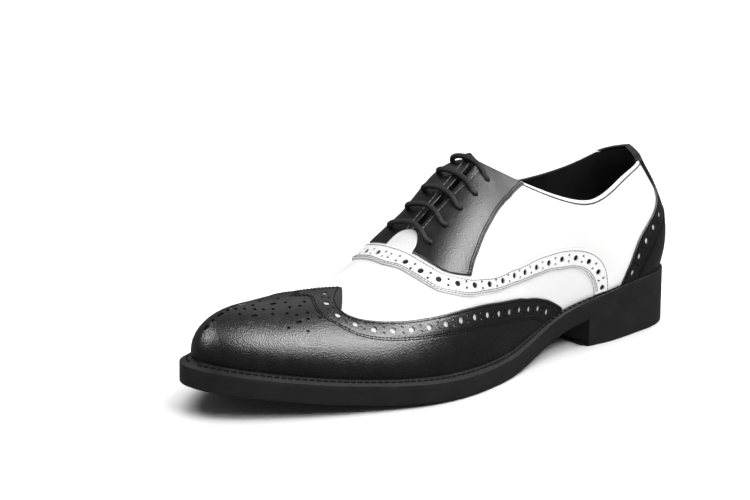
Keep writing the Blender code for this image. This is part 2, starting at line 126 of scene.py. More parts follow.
#      t   flare  flare  full  lean  lean  full  full
SECTION = [
    (0.0, 20.5, 20.5, 0.49, 10, 10, 0.32, 0.32),
    (0.1, 17.0, 15.9, 0.48, 27, 9, 0.30, 0.33),
    (0.2, 12.1, 10.6, 0.46, 19, 11, 0.32, 0.35),
    (0.3, 6.8, 4.6, 0.45, 19, 22, 0.36, 0.42),
    (0.4, 2.2, 0.6, 0.47, 35, 56, 0.41, 0.57),
    (0.5, 0.4, 2.2, 0.51, 64, 100, 0.48, 0.72),
    (0.6, 2.2, 3.6, 0.47, 83, 91, 0.53, 0.66),
    (0.7, 5.9, 6.5, 0.48, 88, 84, 0.55, 0.59),
    (0.8, 8.6, 7.0, 0.56, 89, 88, 0.56, 0.56),
    (0.9, 9.5, 6.0, 0.61, 88, 89, 0.55, 0.55),
    (1.0, 9.0, 9.0, 0.64, 88, 88, 0.55, 0.55),
]

# Heights over the form in mm: the white body, its lining, the panels and the tab
BODY_TOP = -0.45
BODY_LOW = -1.8
LINING_TOP = -1.85
LINING_LOW = -3.0
BACKING_TOP = -0.3
BACKING_LOW = -0.42
PANEL_TOP = 0.5
PANEL_LOW = -0.25
TAB_TOP = 1.25
TAB_LOW = 0.3
FOLD_LOW = -3.1

# Sheets in mm: rounded edges, welds, grooves, reach of a fold, and the height of the shoe's middle
EDGE_ROUND = 0.5
WELD = 0.0005
GROOVE_DEEP = 0.25
GROOVE_WIDE = 0.5
FOLD_REACH = (0.6, 1.6)
MIDDLE_HIGH = 40.0

# Panel edges on the upper as shares t along and v up a section; foot is the share at the feather
#     t      v      foot
WING_EDGE = [
    (0.374, 0.025, 0.374),
    (0.384, 0.068, 0.384),
    (0.400, 0.122, 0.400),
    (0.414, 0.151, 0.414),
    (0.428, 0.170, 0.428),
    (0.440, 0.177, 0.440),
    (0.450, 0.182, 0.450),
    (0.463, 0.202, 0.463),
    (0.499, 0.240, 0.499),
    (0.533, 0.280, 0.533),
    (0.565, 0.324, 0.564),
    (0.593, 0.368, 0.591),
    (0.618, 0.413, 0.614),
    (0.641, 0.458, 0.634),
    (0.662, 0.503, 0.652),
    (0.680, 0.545, 0.667),
    (0.694, 0.585, 0.681),
    (0.705, 0.632, 0.692),
    (0.711, 0.682, 0.700),
    (0.714, 0.747, 0.709),
    (0.714, 0.822, 0.717),
    (0.708, 0.909, 0.726),
    (0.700, 1.000, 0.735),
]
COUNTER_EDGE = [
    (0.264, 0.025, 0.264),
    (0.260, 0.055, 0.260),
    (0.254, 0.108, 0.254),
    (0.246, 0.168, 0.246),
    (0.238, 0.228, 0.238),
    (0.229, 0.289, 0.229),
    (0.217, 0.348, 0.216),
    (0.204, 0.393, 0.201),
    (0.189, 0.432, 0.185),
    (0.173, 0.468, 0.168),
    (0.156, 0.504, 0.150),
    (0.139, 0.543, 0.132),
    (0.122, 0.590, 0.114),
    (0.110, 0.643, 0.101),
    (0.102, 0.712, 0.092),
    (0.101, 0.797, 0.085),
    (0.108, 0.900, 0.079),
    (0.117, 1.000, 0.072),
]
#   top t  top v  low t  low v
BAND_EDGE = [
    (0.608, 1.000, 0.634, 1.000),
    (0.604, 0.940, 0.627, 0.925),
    (0.600, 0.880, 0.620, 0.850),
    (0.595, 0.805, 0.613, 0.760),
    (0.590, 0.740, 0.606, 0.680),
    (0.584, 0.675, 0.598, 0.600),
    (0.577, 0.610, 0.589, 0.528),
    (0.568, 0.555, 0.578, 0.468),
    (0.556, 0.500, 0.562, 0.405),
    (0.540, 0.440, 0.545, 0.352),
    (0.522, 0.400, 0.524, 0.318),
    (0.500, 0.370, 0.499, 0.290),
    (0.476, 0.365, 0.476, 0.279),
    (0.461, 0.357, 0.461, 0.268),
    (0.450, 0.355, 0.450, 0.263),
    (0.440, 0.380, 0.440, 0.275),
    (0.430, 0.413, 0.430, 0.292),
    (0.420, 0.443, 0.420, 0.307),
    (0.407, 0.478, 0.406, 0.328),
    (0.390, 0.515, 0.388, 0.331),
    (0.370, 0.528, 0.372, 0.330),
    (0.352, 0.510, 0.358, 0.312),
    (0.336, 0.465, 0.346, 0.275),
    (0.322, 0.400, 0.336, 0.225),
    (0.311, 0.320, 0.329, 0.165),
    (0.303, 0.225, 0.324, 0.105),
    (0.298, 0.120, 0.321, 0.055),
    (0.295, 0.012, 0.320, 0.012),
]
FACING_REAR = [
    (0.538, 0.447),
    (0.529, 0.500),
    (0.522, 0.528),
    (0.515, 0.557),
    (0.508, 0.590),
    (0.500, 0.622),
    (0.491, 0.651),
    (0.482, 0.677),
    (0.473, 0.698),
    (0.464, 0.712),
    (0.457, 0.720),
    (0.4515, 0.726),
    (0.449, 0.736),
    (0.4465, 0.754),
    (0.441, 0.795),
    (0.436, 0.840),
    (0.430, 0.888),
    (0.424, 0.935),
    (0.417, 0.985),
]
FACING_FOOT = [
    (0.607, 1.000),
    (0.602, 0.940),
    (0.598, 0.880),
    (0.593, 0.808),
    (0.588, 0.742),
    (0.582, 0.678),
    (0.575, 0.614),
    (0.566, 0.556),
    (0.554, 0.502),
    (0.538, 0.447),
]
FACING_TOP = (0.450, 1.000)

# Rows of punched holes: pairs of t and v along the middle of the brogued strips
WING_HOLES = [
    (0.731, 0.930),
    (0.731, 0.838),
    (0.730, 0.752),
    (0.720, 0.640),
    (0.703, 0.550),
    (0.683, 0.475),
    (0.662, 0.422),
    (0.625, 0.358),
    (0.588, 0.300),
    (0.545, 0.242),
    (0.495, 0.182),
    (0.468, 0.156),
    (0.450, 0.133),
    (0.430, 0.114),
    (0.417, 0.094),
    (0.402, 0.050),
]
BAND_HOLES = [
    (0.621, 1.000),
    (0.612, 0.880),
    (0.603, 0.755),
    (0.593, 0.650),
    (0.577, 0.540),
    (0.557, 0.455),
    (0.535, 0.388),
    (0.510, 0.345),
    (0.487, 0.330),
    (0.468, 0.324),
    (0.450, 0.312),
    (0.440, 0.330),
    (0.430, 0.352),
    (0.415, 0.385),
    (0.393, 0.425),
    (0.370, 0.435),
    (0.346, 0.392),
    (0.326, 0.288),
    (0.314, 0.165),
    (0.308, 0.045),
]
COUNTER_HOLES = [
    (0.128, 0.470),
    (0.163, 0.400),
    (0.193, 0.322),
    (0.218, 0.220),
    (0.235, 0.110),
    (0.243, 0.040),
]
WING_STITCH = [
    (0.790, 1.000),
    (0.772, 0.970),
    (0.757, 0.925),
    (0.750, 0.850),
    (0.748, 0.763),
    (0.743, 0.680),
    (0.733, 0.600),
    (0.712, 0.500),
    (0.690, 0.418),
    (0.660, 0.353),
    (0.623, 0.296),
    (0.583, 0.240),
    (0.535, 0.181),
    (0.480, 0.134),
    (0.460, 0.110),
    (0.450, 0.096),
    (0.430, 0.072),
    (0.418, 0.045),
    (0.408, 0.016),
]
COUNTER_STITCH = [
    (0.078, 0.470),
    (0.105, 0.412),
    (0.135, 0.352),
    (0.165, 0.282),
    (0.190, 0.190),
    (0.207, 0.110),
    (0.218, 0.040),
    (0.222, 0.014),
]

# Toe medallion: places over the toe from its middle line out, and from the heel's back
#      out    s
OVALS = [
    (0.0, 292.6),
    (0.0, 284.8),
    (4.8, 258.4),
    (9.4, 272.4),
    (20.0, 255.4),
]
DOTS = [
    (0.0, 288.8),
    (0.0, 280.6),
    (1.6, 277.0),
    (3.4, 273.4),
    (2.6, 268.2),
    (5.6, 269.4),
    (7.4, 265.6),
    (5.4, 277.6),
    (8.8, 261.2),
    (11.8, 263.6),
    (5.6, 252.4),
    (10.2, 253.4),
    (13.6, 257.2),
    (16.2, 253.8),
    (11.0, 248.6),
    (8.6, 244.6),
    (16.4, 248.2),
    (19.6, 250.2),
    (20.4, 244.8),
    (24.6, 253.8),
    (20.8, 261.4),
    (0.0, 262.4),
    (0.0, 252.6),
    (0.0, 245.6),
]

# Finishes: depth of the grain in metres, and scales per metre of uneven colour and gloss
GRAIN_DEPTH = 0.0002
PATCH_SCALE = 45
GLOSS_SCALE = 120

# Hole sizes in mm
BIG_HOLE = 1.55
SMALL_HOLE = 0.72
DOT_HOLE = 0.85
OVAL_LONG = 1.8
OVAL_WIDE = 1.05
EYELET_HOLE = 1.6
HOLE_DEEP = 2.2

# Pitch of the big holes, and how far a pair of small ones stands out from their line, in mm
WING_PITCH = 9.6
COUNTER_PITCH = 9.4
BAND_PITCH = 9.8
PAIR_OUT = 1.5
BAND_PAIR_OUT = 1.6

# Where the medallion's places are looked for, and the tip of the toe's middle line as s and x
TOE_COLUMNS = (0.70, 1.0, 400)
TOE_ROWS = (0.3, 0.995, 300)
TOE_TIP = (297.4, -8.4)

# Shares by which the white body and its lining stop short of the top line, and where the stay ends
TUCK = 0.016
LINING_SHORT = 0.004
STAY_END = (0.104, 0.116)
FACING_BACK_END = (0.448, 0.456)
FACING_FRONT_END = (0.598, 0.606)
STAY_RIM = 0.114
STAY_FOLD = 0.100

# Stitch lines: mm aside from a panel's edge and from each other, and shares of the form
WING_SEAM = 1.3
COUNTER_SEAM = 1.2
SEAM_GAP = 1.1
BAND_SEAM = 1.1
LOW_SEAM = 0.8
BAND_GAP = 1.0
FACING_SEAMS = (1.1, 2.2)
SLIT_SEAM = 0.965
SLIT_SEAM_RUN = (0.598, 0.455, 10)
WELT_SEAM_RUN = (0.06, 0.9995, 700)
COLLAR_STITCH = [
    (0.118, 0.970),
    (0.14, 0.968),
    (0.2, 0.964),
    (0.27, 0.962),
    (0.34, 0.964),
    (0.40, 0.97),
    (0.424, 0.974),
]

# Threads: pitch in mm, the thread's share of it, and its radius in mm
COLLAR_THREAD = (2.0, 0.94, 0.32)
SEAM_THREAD = (1.9, 0.8, 0.24)
BAND_THREAD = (1.9, 0.8, 0.2)
FACING_THREAD = (1.9, 0.8, 0.26)
SLIT_THREAD = (2.6, 0.8, 0.24)
WELT_THREAD = (3.4, 0.75, 0.36)

# Steps in mm: along lines that distances are measured to, and along curves on the form
NEAR_STEP = 0.2
WALK_STEP = 0.5

# Points of a smooth curve for each row of its table
EDGE_STEPS = 9
BAND_STEPS = 6
WALK_ROWS = 6
TRAIL_ROWS = 12

# Close rows in mm from an edge, and the least and a short length of a panel's column
CLOSE = (0.0, 0.1, 0.25, 0.45, 0.8)
END_CLOSE = (0.0, 0.5, 1.2)
LEAST_COLUMN = 0.5
SHORT_COLUMN = 4

# Sheets: their columns and rows, and about how long they are in mm
SHOE_RUN = 400
SIDE_RUN = 75
BODY_COLUMNS = 200
BODY_ROWS = 40
LINING_ROWS = 24
WING_ROWS = 44
WING_CROWN = 60
COUNTER_ROWS = 40
COUNTER_CROWN = 24
BAND_ROWS = 8
BAND_WIDE = 11
FACING_COLUMNS = 26
FACING_ROWS = 60
FACING_WIDE = 30
FACING_LONG = 80
TAB_COLUMNS = 22
TAB_ROWS = 14
TAB_WIDE = 12

# Backings behind the holes: first share, last share and count
TOE_BACKING_COLUMNS = (0.740, 1.0, 60)
TOE_BACKING_ROWS = (0.36, 1.0, 24)
BAND_BACKING = (0.06, 0.94, 8)
FACING_BACKING_COLUMNS = (0.06, 0.93, 14)
FACING_BACKING_ROWS = (0.04, 0.95, 24)

# Tab: shares of its ends, its reach on each side, its round end, and where its top slopes down
TAB_START = 0.582
TAB_FOOT = 0.609
TAB_OUTER = 0.132
TAB_INNER = 0.112
TAB_POWER = 2.4
TAB_LEAST = 0.002
TAB_SLOPE = (177.0, 184.5)

# Tongue: heights over the form in mm, shares of its ends, its reach and taper, and its rounded tip
TONGUE_TOP = -3.5
TONGUE_LOW = -5.5
TONGUE_START = 0.625
TONGUE_END = 0.465
TAPER_START = 0.56
TONGUE_REACH = 0.22
TONGUE_TAPER = 0.45
TONGUE_ROWS = 40
TONGUE_COLUMNS = 14
TIP_ROWS = 20
TIP_HALF = 9.0
TIP_DROP = 2.0
TIP_LONG = 6.0
TIP_ASIDE = -8.0
TIP_RISE = 4.0
TIP_FLAT = 0.6
TIP_POWER = 2.6
TIP_BEND = (0.2, 1.1)
TIP_LEAST = 0.06

# Sole in mm: its side lies a hair inside the CAD, and ribs stand in the tread's shallow recess
SIDE_IN = 0.04
TREAD_RIM = 3.5
TREAD_DEEP = 1.0
TREAD_PITCH = 6.0
TREAD_RIB = 3.4
RIB_GAP = 0.2
RIB_SUNK = 0.1
RIB_LIFT = 0.03
PLATE_GAP = 0.03
HEEL_SUNK = 1.3
END_GAP = 0.0005

# Lace and its eyelets
LACE_RADIUS = 1.4
LACE_STEP = 0.35
LACE_TWIST = 2.6
LACE_RELIEF = 0.1
LACE_OVER = 2.2
LACE_POINTS = 120
PLAITS = 3
#    eye  toward the middle  out  along
LACE_PATH = [
    (0, 0.0, -2.6, 0.0),
    (0, 0.0, -0.6, 0.0),
    (0, 0.0, 1.0, 0.5),
    (0, 0.0, 2.2, 3.2),
    (0, 0.45, 2.2, 0.0),
    (0, 1.0, 0.0, 0.0),
    (1, 0.45, 3.0, 0.0),
    (1, 0.0, 3.8, -2.0),
    (1, 0.0, 1.2, -0.2),
    (1, 0.0, -0.6, 0.0),
    (1, 0.0, -2.6, 0.0),
]
#    t      v
EYELETS = [
    (0.459, 0.895),
    (0.493, 0.868),
    (0.522, 0.845),
    (0.549, 0.830),
    (0.575, 0.822),
]

# Lights: name, place, aim, size in metres, power in watts, and whether each fills and shines
LIGHTS = [
    ("overhead", (-0.5, 0.5, 1.9), (-0.2, 0.2, 0.0), (3.4, 3.4), 108, True, False),
    ("fill", (0.92, 0.22, 1.02), (0, -0.03, 0.05), (1.3, 0.45), 12, True, False),
    ("window", (0.86, 0.12, 1.08), (0, -0.03, 0.05), (1.25, 0.6), 48, False, True),
    ("toe", (-0.3, -1.06, 0.92), (0, -0.12, 0.05), (0.34, 0.6), 16, False, True),
    ("rear", (0.5, 1.15, 0.9), (0, 0, 0.08), (0.6, 0.4), 8, False, True),
    ("sky", (-0.7, 0.6, 1.15), (0, -0.05, 0.05), (1.2, 1.0), 3, False, True),
]
AIR_LIGHT = 0.14

# Camera: angles in degrees, lens in mm, and its aim and distance in metres
CAMERA_AZIMUTH = 49.41
CAMERA_HEIGHT = 14.81
CAMERA_ROLL = 0.63
CAMERA_LENS = 124.55
CAMERA_AIM = (-0.00079, -0.04427, 0.06499)
CAMERA_FAR = 1.27385


def column(table, number):
    """One named column of a table of rows."""
    return np.array([row[number] for row in table], float)


def curve_through(xs, ys, x):
    """A natural cubic curve through the rows of a table."""
    xs = np.asarray(xs, float)
    ys = np.asarray(ys, float)
    count = len(xs)
    step = np.diff(xs)
    matrix = np.eye(count)
    right = np.zeros(count)
    for i in range(1, count - 1):
        matrix[i, i - 1] = step[i - 1]
        matrix[i, i] = 2 * (step[i - 1] + step[i])
        matrix[i, i + 1] = step[i]
        right[i] = 3 * ((ys[i + 1] - ys[i]) / step[i] - (ys[i] - ys[i - 1]) / step[i - 1])
    c = np.linalg.solve(matrix, right)
    b = np.diff(ys) / step - step * (2 * c[:-1] + c[1:]) / 3
    d = np.diff(c) / (3 * step)
    x = np.asarray(x, float)
    k = np.clip(np.searchsorted(xs, x) - 1, 0, count - 2)
    r = x - xs[k]
    return ys[k] + b[k] * r + c[k] * r * r + d[k] * r ** 3


def ease(start, end, x):
    """A smooth step from 0 at start to 1 at end."""
    q = np.clip((x - start) / (end - start), 0, 1)
    return q * q * (3 - 2 * q)


def round_end(share, power):
    """How the half width grows from nothing at a rounded end."""
    q = np.clip(share, 0, 1)
    return (1 - (1 - q) ** power) ** (1 / power)


def under(s):
    """Height of the outsole's underside."""
    arch = ease(ARCH_END, ARCH_START, s)
    toe = np.clip((s - SPRING_START) / (LENGTH - SPRING_START), 0, 1)
    return HEEL_HEIGHT * arch + TOE_SPRING * toe ** 2


def edge_top(s):
    """Height of the top edge of the sole's side."""
    seat = 1 - ease(*SEAT_END, s)
    return under(s) + EDGE_HEIGHT + (SEAT_HEIGHT - EDGE_HEIGHT) * seat


def rise_at(s):
    """How far the feather line lies above the edge of the sole."""
    return np.interp(s, column(FEATHER, 0), column(FEATHER, 2))


def ring(t, side, share, extra):
    """x and s of a line round the sole: share 0 is its edge, 1 is the feather line, extra is further in."""
    t = np.asarray(t, float)
    first = share * FEATHER[0][1] + extra
    last = LENGTH - share * FEATHER[-1][1] - extra
    s = first + (last - first) * (1 - np.cos(math.pi * t)) / 2
    inset = share * np.interp(s, column(FEATHER, 0), column(FEATHER, 1)) + extra
    outer = curve_through(column(PLAN, 0), column(PLAN, 1), s)
    inner = curve_through(column(PLAN, 0), column(PLAN, 2), s)
    half = (outer - inner) / 2 - inset
    half = half * round_end((s - first) / (HEEL_ROUND - first), HEEL_POWER)
    half = half * round_end((last - s) / (TOE_ROUND - (LENGTH - last)), TOE_POWER)
    return (outer + inner) / 2 + side * half, s


def feather(t, side):
    """The line where a section starts, on the welt."""
    x, s = ring(t, side, 1, 0)
    return np.stack([x, s, edge_top(s) + rise_at(s)], -1)


def top_line(t, side):
    """The line where a section ends: the collar, then the slit's edge, then the vamp's ridge."""
    t = np.asarray(t, float)
    on_collar = t <= CORNER
    a = np.where(on_collar, t, CORNER)
    b = np.where(on_collar, CORNER, t)
    number = 2 if side > 0 else 4
    ct = column(COLLAR, 0)
    rt = column(RIDGE, 0)
    half = SLIT_HALF * (1 - ease(SLIT_END - SLIT_CLOSING, SLIT_END, b))
    x = np.where(on_collar, curve_through(ct, column(COLLAR, number), a),
                 curve_through(rt, column(RIDGE, 2), b) + side * half)
    s = np.where(on_collar, curve_through(ct, column(COLLAR, 1), a),
                 curve_through(rt, column(RIDGE, 1), b))
    z = np.where(on_collar, curve_through(ct, column(COLLAR, number + 1), a),
                 curve_through(rt, column(RIDGE, 3), b))
    return np.stack([x, s, z], -1)


def unit(vectors):
    """Vectors of length one."""
    return vectors / np.maximum(np.linalg.norm(vectors, axis=-1, keepdims=True), 1e-9)


def form(t, v, side):
    """The shoe's outer form: shares t along and v up a section of one side, arrays of one shape."""
    t = np.asarray(t, float)
    v = np.asarray(v, float)[..., None]
    low = feather(t, side)
    high = top_line(t, side)
    along = feather(np.clip(t + NUDGE, 0, 1), side) - feather(np.clip(t - NUDGE, 0, 1), side)
    out = unit(np.stack([along[..., 1], -along[..., 0], 0 * t], -1) * side)
    out = np.where((t <= NUDGE)[..., None], np.array([0.0, -1.0, 0.0]), out)
    out = np.where((t >= 1 - NUDGE)[..., None], np.array([0.0, 1.0, 0.0]), out)
    shares = column(SECTION, 0)
    inner = side < 0
    flare = np.radians(curve_through(shares, column(SECTION, 2 if inner else 1), t))[..., None]
    full_low = curve_through(shares, column(SECTION, 3), t)[..., None]
    lean = np.radians(curve_through(shares, column(SECTION, 5 if inner else 4), t))[..., None]
    full_high = curve_through(shares, column(SECTION, 7 if inner else 6), t)[..., None]
    up = np.array([0.0, 0.0, 1.0])
    height = (high - low)[..., 2:3]
    low_handle = low + full_low * height * (np.cos(flare) * up + np.sin(flare) * out)
    on_ridge = np.clip(t, CORNER, 1)
    next_point = top_line(np.clip(on_ridge + RIDGE_NUDGE, CORNER, 1), 0)
    run = unit(next_point - top_line(np.clip(on_ridge - RIDGE_NUDGE, CORNER, 1), 0))
    across = np.abs(low - high)[..., 0] * (1 - ease(POLE_START, 1, t))
    ahead = np.maximum((low - high)[..., 1], 0)
    turn = np.arctan2(ahead, across)[..., None]
    over = np.cos(turn) * np.array([side, 0.0, 0.0]) + np.sin(turn) * run
    blend = ease(VAMP_START, VAMP_FULL, t)[..., None]
    down = (1 - blend) * (np.sin(lean) * out - np.cos(lean) * up)
    down = unit(down + blend * (np.sin(lean) * over - np.cos(lean) * up))
    width = np.linalg.norm((high - low)[..., :2], axis=-1, keepdims=True)
    span = (1 - blend) * height + blend * np.maximum(width, LEAST_SPAN * height)
    high_handle = high + full_high * span * down
    w = 1 - v
    return w ** 3 * low + 3 * w * w * v * low_handle + 3 * w * v * v * high_handle + v ** 3 * high


def place(points):
    """Shoe coordinates in millimetres to the model's metres."""
    p = np.asarray(points, float)
    return np.stack([p[..., 0] - MID_X, MID_S - p[..., 1], p[..., 2]], -1) * MM


def normals(t, v, side):
    """The form's outward normals in shoe coordinates at shares t and v."""
    t = np.asarray(t, float)
    v = np.asarray(v, float)
    step = 0.004
    along = form(np.minimum(t + step, 1), v, side) - form(np.maximum(t - step, 0), v, side)
    upward = form(t, np.minimum(v + step, 1), side) - form(t, np.maximum(v - step, 0), side)
    return unit(np.cross(along, upward) * side)


def smooth_rows(table, count):
    """Rows between the rows of a table, on smooth curves."""
    at = np.linspace(0, len(table) - 1, (len(table) - 1) * count + 1)
    numbers = np.arange(len(table))
    return np.stack([curve_through(numbers, column(table, k), at) for k in range(len(table[0]))], -1)


def even_path(points, step):
    """Points at even steps along a line of points, with the step nearest the one asked for."""
    points = np.asarray(points, float)
    run = np.concatenate([[0], np.cumsum(np.linalg.norm(np.diff(points, axis=0), axis=1))])
    count = max(int(round(run[-1] / step)), 1)
    at = np.linspace(0, run[-1], count + 1)
    return np.stack([np.interp(at, run, points[:, k]) for k in range(points.shape[1])], -1)


def trail(table, side, step):
    """Even steps along a curve of shares: rows of x, s, z and the shares t and v."""
    rows = smooth_rows([row[:2] for row in table], TRAIL_ROWS)
    t = np.clip(rows[:, 0], 0, 1)
    v = np.clip(rows[:, 1], 0, 1)
    points = form(t, v, side)
    return even_path(np.concatenate([points, t[:, None], v[:, None]], 1), step)


def material(name, colour, roughness, **extra):
    """A material with its shader and the values that are the same all over."""
    made = bpy.data.materials.new(name)
    made.use_nodes = True
    shader = made.node_tree.nodes["Principled BSDF"]
    shader.inputs["Base Color"].default_value = (*colour, 1)
    shader.inputs["Roughness"].default_value = roughness
    for socket, value in extra.items():
        shader.inputs[socket.replace("_", " ")].default_value = value
    made.diffuse_color = (*colour, 1)
    return made


def add(tree, kind, inputs, **settings):
    """A node with its settings; each input is linked to a socket or set to a value."""
    made = tree.nodes.new(kind)
    for key, value in settings.items():
        setattr(made, key, value)
    for key, value in inputs.items():
        if isinstance(value, bpy.types.NodeSocket):
            tree.links.new(value, made.inputs[key])
        else:
            made.inputs[key].default_value = value
    return made


def hide_group():
    """One shader group for the fine grain, uneven colour and uneven gloss of every finish."""
    tree = bpy.data.node_groups.new("hide_surface", "ShaderNodeTree")
    kinds = {"Vector": "NodeSocketVector", "Dark": "NodeSocketColor", "Light": "NodeSocketColor",
             "Rough Low": "NodeSocketFloat", "Rough High": "NodeSocketFloat", "Grain": "NodeSocketFloat",
             "Depth": "NodeSocketFloat"}
    for label, kind in kinds.items():
        tree.interface.new_socket(label, in_out="INPUT", socket_type=kind)
    results = {"Colour": "NodeSocketColor", "Roughness": "NodeSocketFloat", "Normal": "NodeSocketVector"}
    for label, kind in results.items():
        tree.interface.new_socket(label, in_out="OUTPUT", socket_type=kind)
    given = tree.nodes.new("NodeGroupInput").outputs
    where = given["Vector"]
    cells = add(tree, "ShaderNodeTexVoronoi", {"Vector": where, "Scale": given["Grain"]})
    pores = add(tree, "ShaderNodeTexNoise", {"Vector": where, "Scale": given["Grain"], "Detail": 3})
    height = add(tree, "ShaderNodeMath", {0: cells.outputs["Distance"], 1: pores.outputs["Fac"]})
    bump = add(tree, "ShaderNodeBump", {"Height": height.outputs[0], "Strength": given["Depth"],
                                        "Distance": GRAIN_DEPTH})
    blots = add(tree, "ShaderNodeTexNoise", {"Vector": where, "Scale": PATCH_SCALE, "Detail": 3})
    mix = add(tree, "ShaderNodeMix",
              {"Factor": blots.outputs["Fac"], "A": given["Dark"], "B": given["Light"]}, data_type="RGBA")
    worn = add(tree, "ShaderNodeTexNoise", {"Vector": where, "Scale": GLOSS_SCALE, "Detail": 4})
    gloss = add(tree, "ShaderNodeMapRange", {"Value": worn.outputs["Fac"], "From Min": 0.3, "From Max": 0.7,
                                             "To Min": given["Rough Low"], "To Max": given["Rough High"]})
    add(tree, "NodeGroupOutput", {"Colour": mix.outputs["Result"], "Roughness": gloss.outputs["Result"],
                                  "Normal": bump.outputs["Normal"]})
    return tree


HIDE = hide_group()


def finish(name, dark, light, rough, grain, depth, **extra):
    """A finish of the shoe: two close colours, a range of gloss, and a grain of a scale and depth."""
    made = material(name, light, rough[0], **extra)
    tree = made.node_tree
    shader = tree.nodes["Principled BSDF"]
    where = tree.nodes.new("ShaderNodeTexCoord").outputs["Object"]
    made_by = add(tree, "ShaderNodeGroup", {}, node_tree=HIDE)
    values = {"Dark": (*dark, 1), "Light": (*light, 1), "Rough Low": rough[0], "Rough High": rough[1],
              "Grain": grain, "Depth": depth}
    for key, value in values.items():
        made_by.inputs[key].default_value = value
    tree.links.new(where, made_by.inputs["Vector"])
    tree.links.new(made_by.outputs["Colour"], shader.inputs["Base Color"])
    tree.links.new(made_by.outputs["Roughness"], shader.inputs["Roughness"])
    tree.links.new(made_by.outputs["Normal"], shader.inputs["Normal"])
    return made


def grey(value):
    """A grey colour."""
    return (value, value, value)


BLACK_LEATHER = finish("black_leather", grey(0.0025), grey(0.0055), (0.27, 0.36), 1500, 0.5)
WHITE_LEATHER = finish("white_leather", grey(0.70), (0.76, 0.76, 0.755), (0.40, 0.52), 1300, 0.2)
LINING = finish("black_lining", grey(0.003), grey(0.006), (0.6, 0.75), 900, 0.3, Specular_IOR_Level=0.2)
RUBBER = finish("black_rubber", grey(0.005), grey(0.009), (0.42, 0.55), 2500, 0.15, Specular_IOR_Level=0.4)
WELT = finish("black_welt", grey(0.006), grey(0.011), (0.35, 0.5), 1800, 0.3, Specular_IOR_Level=0.4)
LACE = finish("black_lace", grey(0.003), grey(0.008), (0.5, 0.65), 3500, 0.6, Specular_IOR_Level=0.3)
BLACK_THREAD = finish("black_thread", grey(0.003), grey(0.006), (0.55, 0.7), 5000, 0.3,
                      Specular_IOR_Level=0.1)
# Real stitches along the slit, but their grey is a painted highlight: it stands in for light caught along
# the facings' edges at the slit
HIGHLIGHT_GREY_THREAD = finish("grey_thread_painted_highlight", grey(0.10), grey(0.16), (0.4, 0.5), 5000, 0.3)
# White thread, darkened to mid grey: painted shade of the stitch holes and grooves it lies in
SHADED_WHITE_THREAD = finish("white_thread_painted_shade", grey(0.14), grey(0.20), (0.5, 0.6), 5000, 0.4)


def link(name, data):
    """An object for a mesh, in the scene."""
    made = bpy.data.objects.new(name, data)
    bpy.context.scene.collection.objects.link(made)
    return made


def solid(name, vertices, faces, surface):
    """A closed mesh of vertices and faces with its finish."""
    data = bpy.data.meshes.new(name)
    data.from_pydata([tuple(p) for p in vertices], [], faces)
    data.update()
    data.materials.append(surface)
    return link(name, data)


def dress(made, replaces=(), sharp=35):
    """Smooth shading with sharp corners, the body that goes with the piece, and hiding the CAD parts it
    replaces.
    """
    made.data.shade_smooth()
    made.data.set_sharp_from_angle(angle=math.radians(sharp))
    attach(made, "root")
    if replaces:
        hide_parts(*replaces)
    return made


def settle(made):
    """Turns what an object's modifiers make into its plain mesh."""
    bpy.context.view_layer.update()
    graph = bpy.context.evaluated_depsgraph_get()
    result = bpy.data.meshes.new_from_object(made.evaluated_get(graph))
    made.modifiers.clear()
    made.data = result
    return made


def geometry_tree(name, inputs):
    """A Geometry Nodes tree with named inputs, and the sockets its nodes start from."""
    tree = bpy.data.node_groups.new(name, "GeometryNodeTree")
    tree.interface.new_socket("Geometry", in_out="INPUT", socket_type="NodeSocketGeometry")
    for label, kind in inputs.items():
        tree.interface.new_socket(label, in_out="INPUT", socket_type=kind)
    tree.interface.new_socket("Geometry", in_out="OUTPUT", socket_type="NodeSocketGeometry")
    return tree, tree.nodes.new("NodeGroupInput").outputs


def finish_tree(tree, geometry, surface):
    """Ends a tree with real geometry in one material."""
    real = add(tree, "GeometryNodeRealizeInstances", {"Geometry": geometry})
    painted = add(tree, "GeometryNodeSetMaterial", {"Geometry": real.outputs[0], "Material": surface})
    add(tree, "NodeGroupOutput", {"Geometry": painted.outputs[0]})
    return tree


def reckon(tree, operation, *values):
    """The result of a sum on sockets or values."""
    return add(tree, "ShaderNodeMath", dict(enumerate(values)), operation=operation).outputs[0]


def carried_vector(tree, label):
    """A vector that the points carry."""
    made = add(tree, "GeometryNodeInputNamedAttribute", {"Name": label}, data_type="FLOAT_VECTOR")
    return made.outputs[0]


def turned(tree):
    """A rotation that stands an instance on the surface, its x along the line it follows."""
    out = carried_vector(tree, "out")
    ahead = carried_vector(tree, "ahead")
    stand = add(tree, "FunctionNodeAlignRotationToVector", {"Vector": out}, axis="Z")
    lined_up = add(tree, "FunctionNodeAlignRotationToVector",
                   {"Rotation": stand.outputs[0], "Vector": ahead}, axis="X", pivot_axis="Z")
    return lined_up.outputs[0]


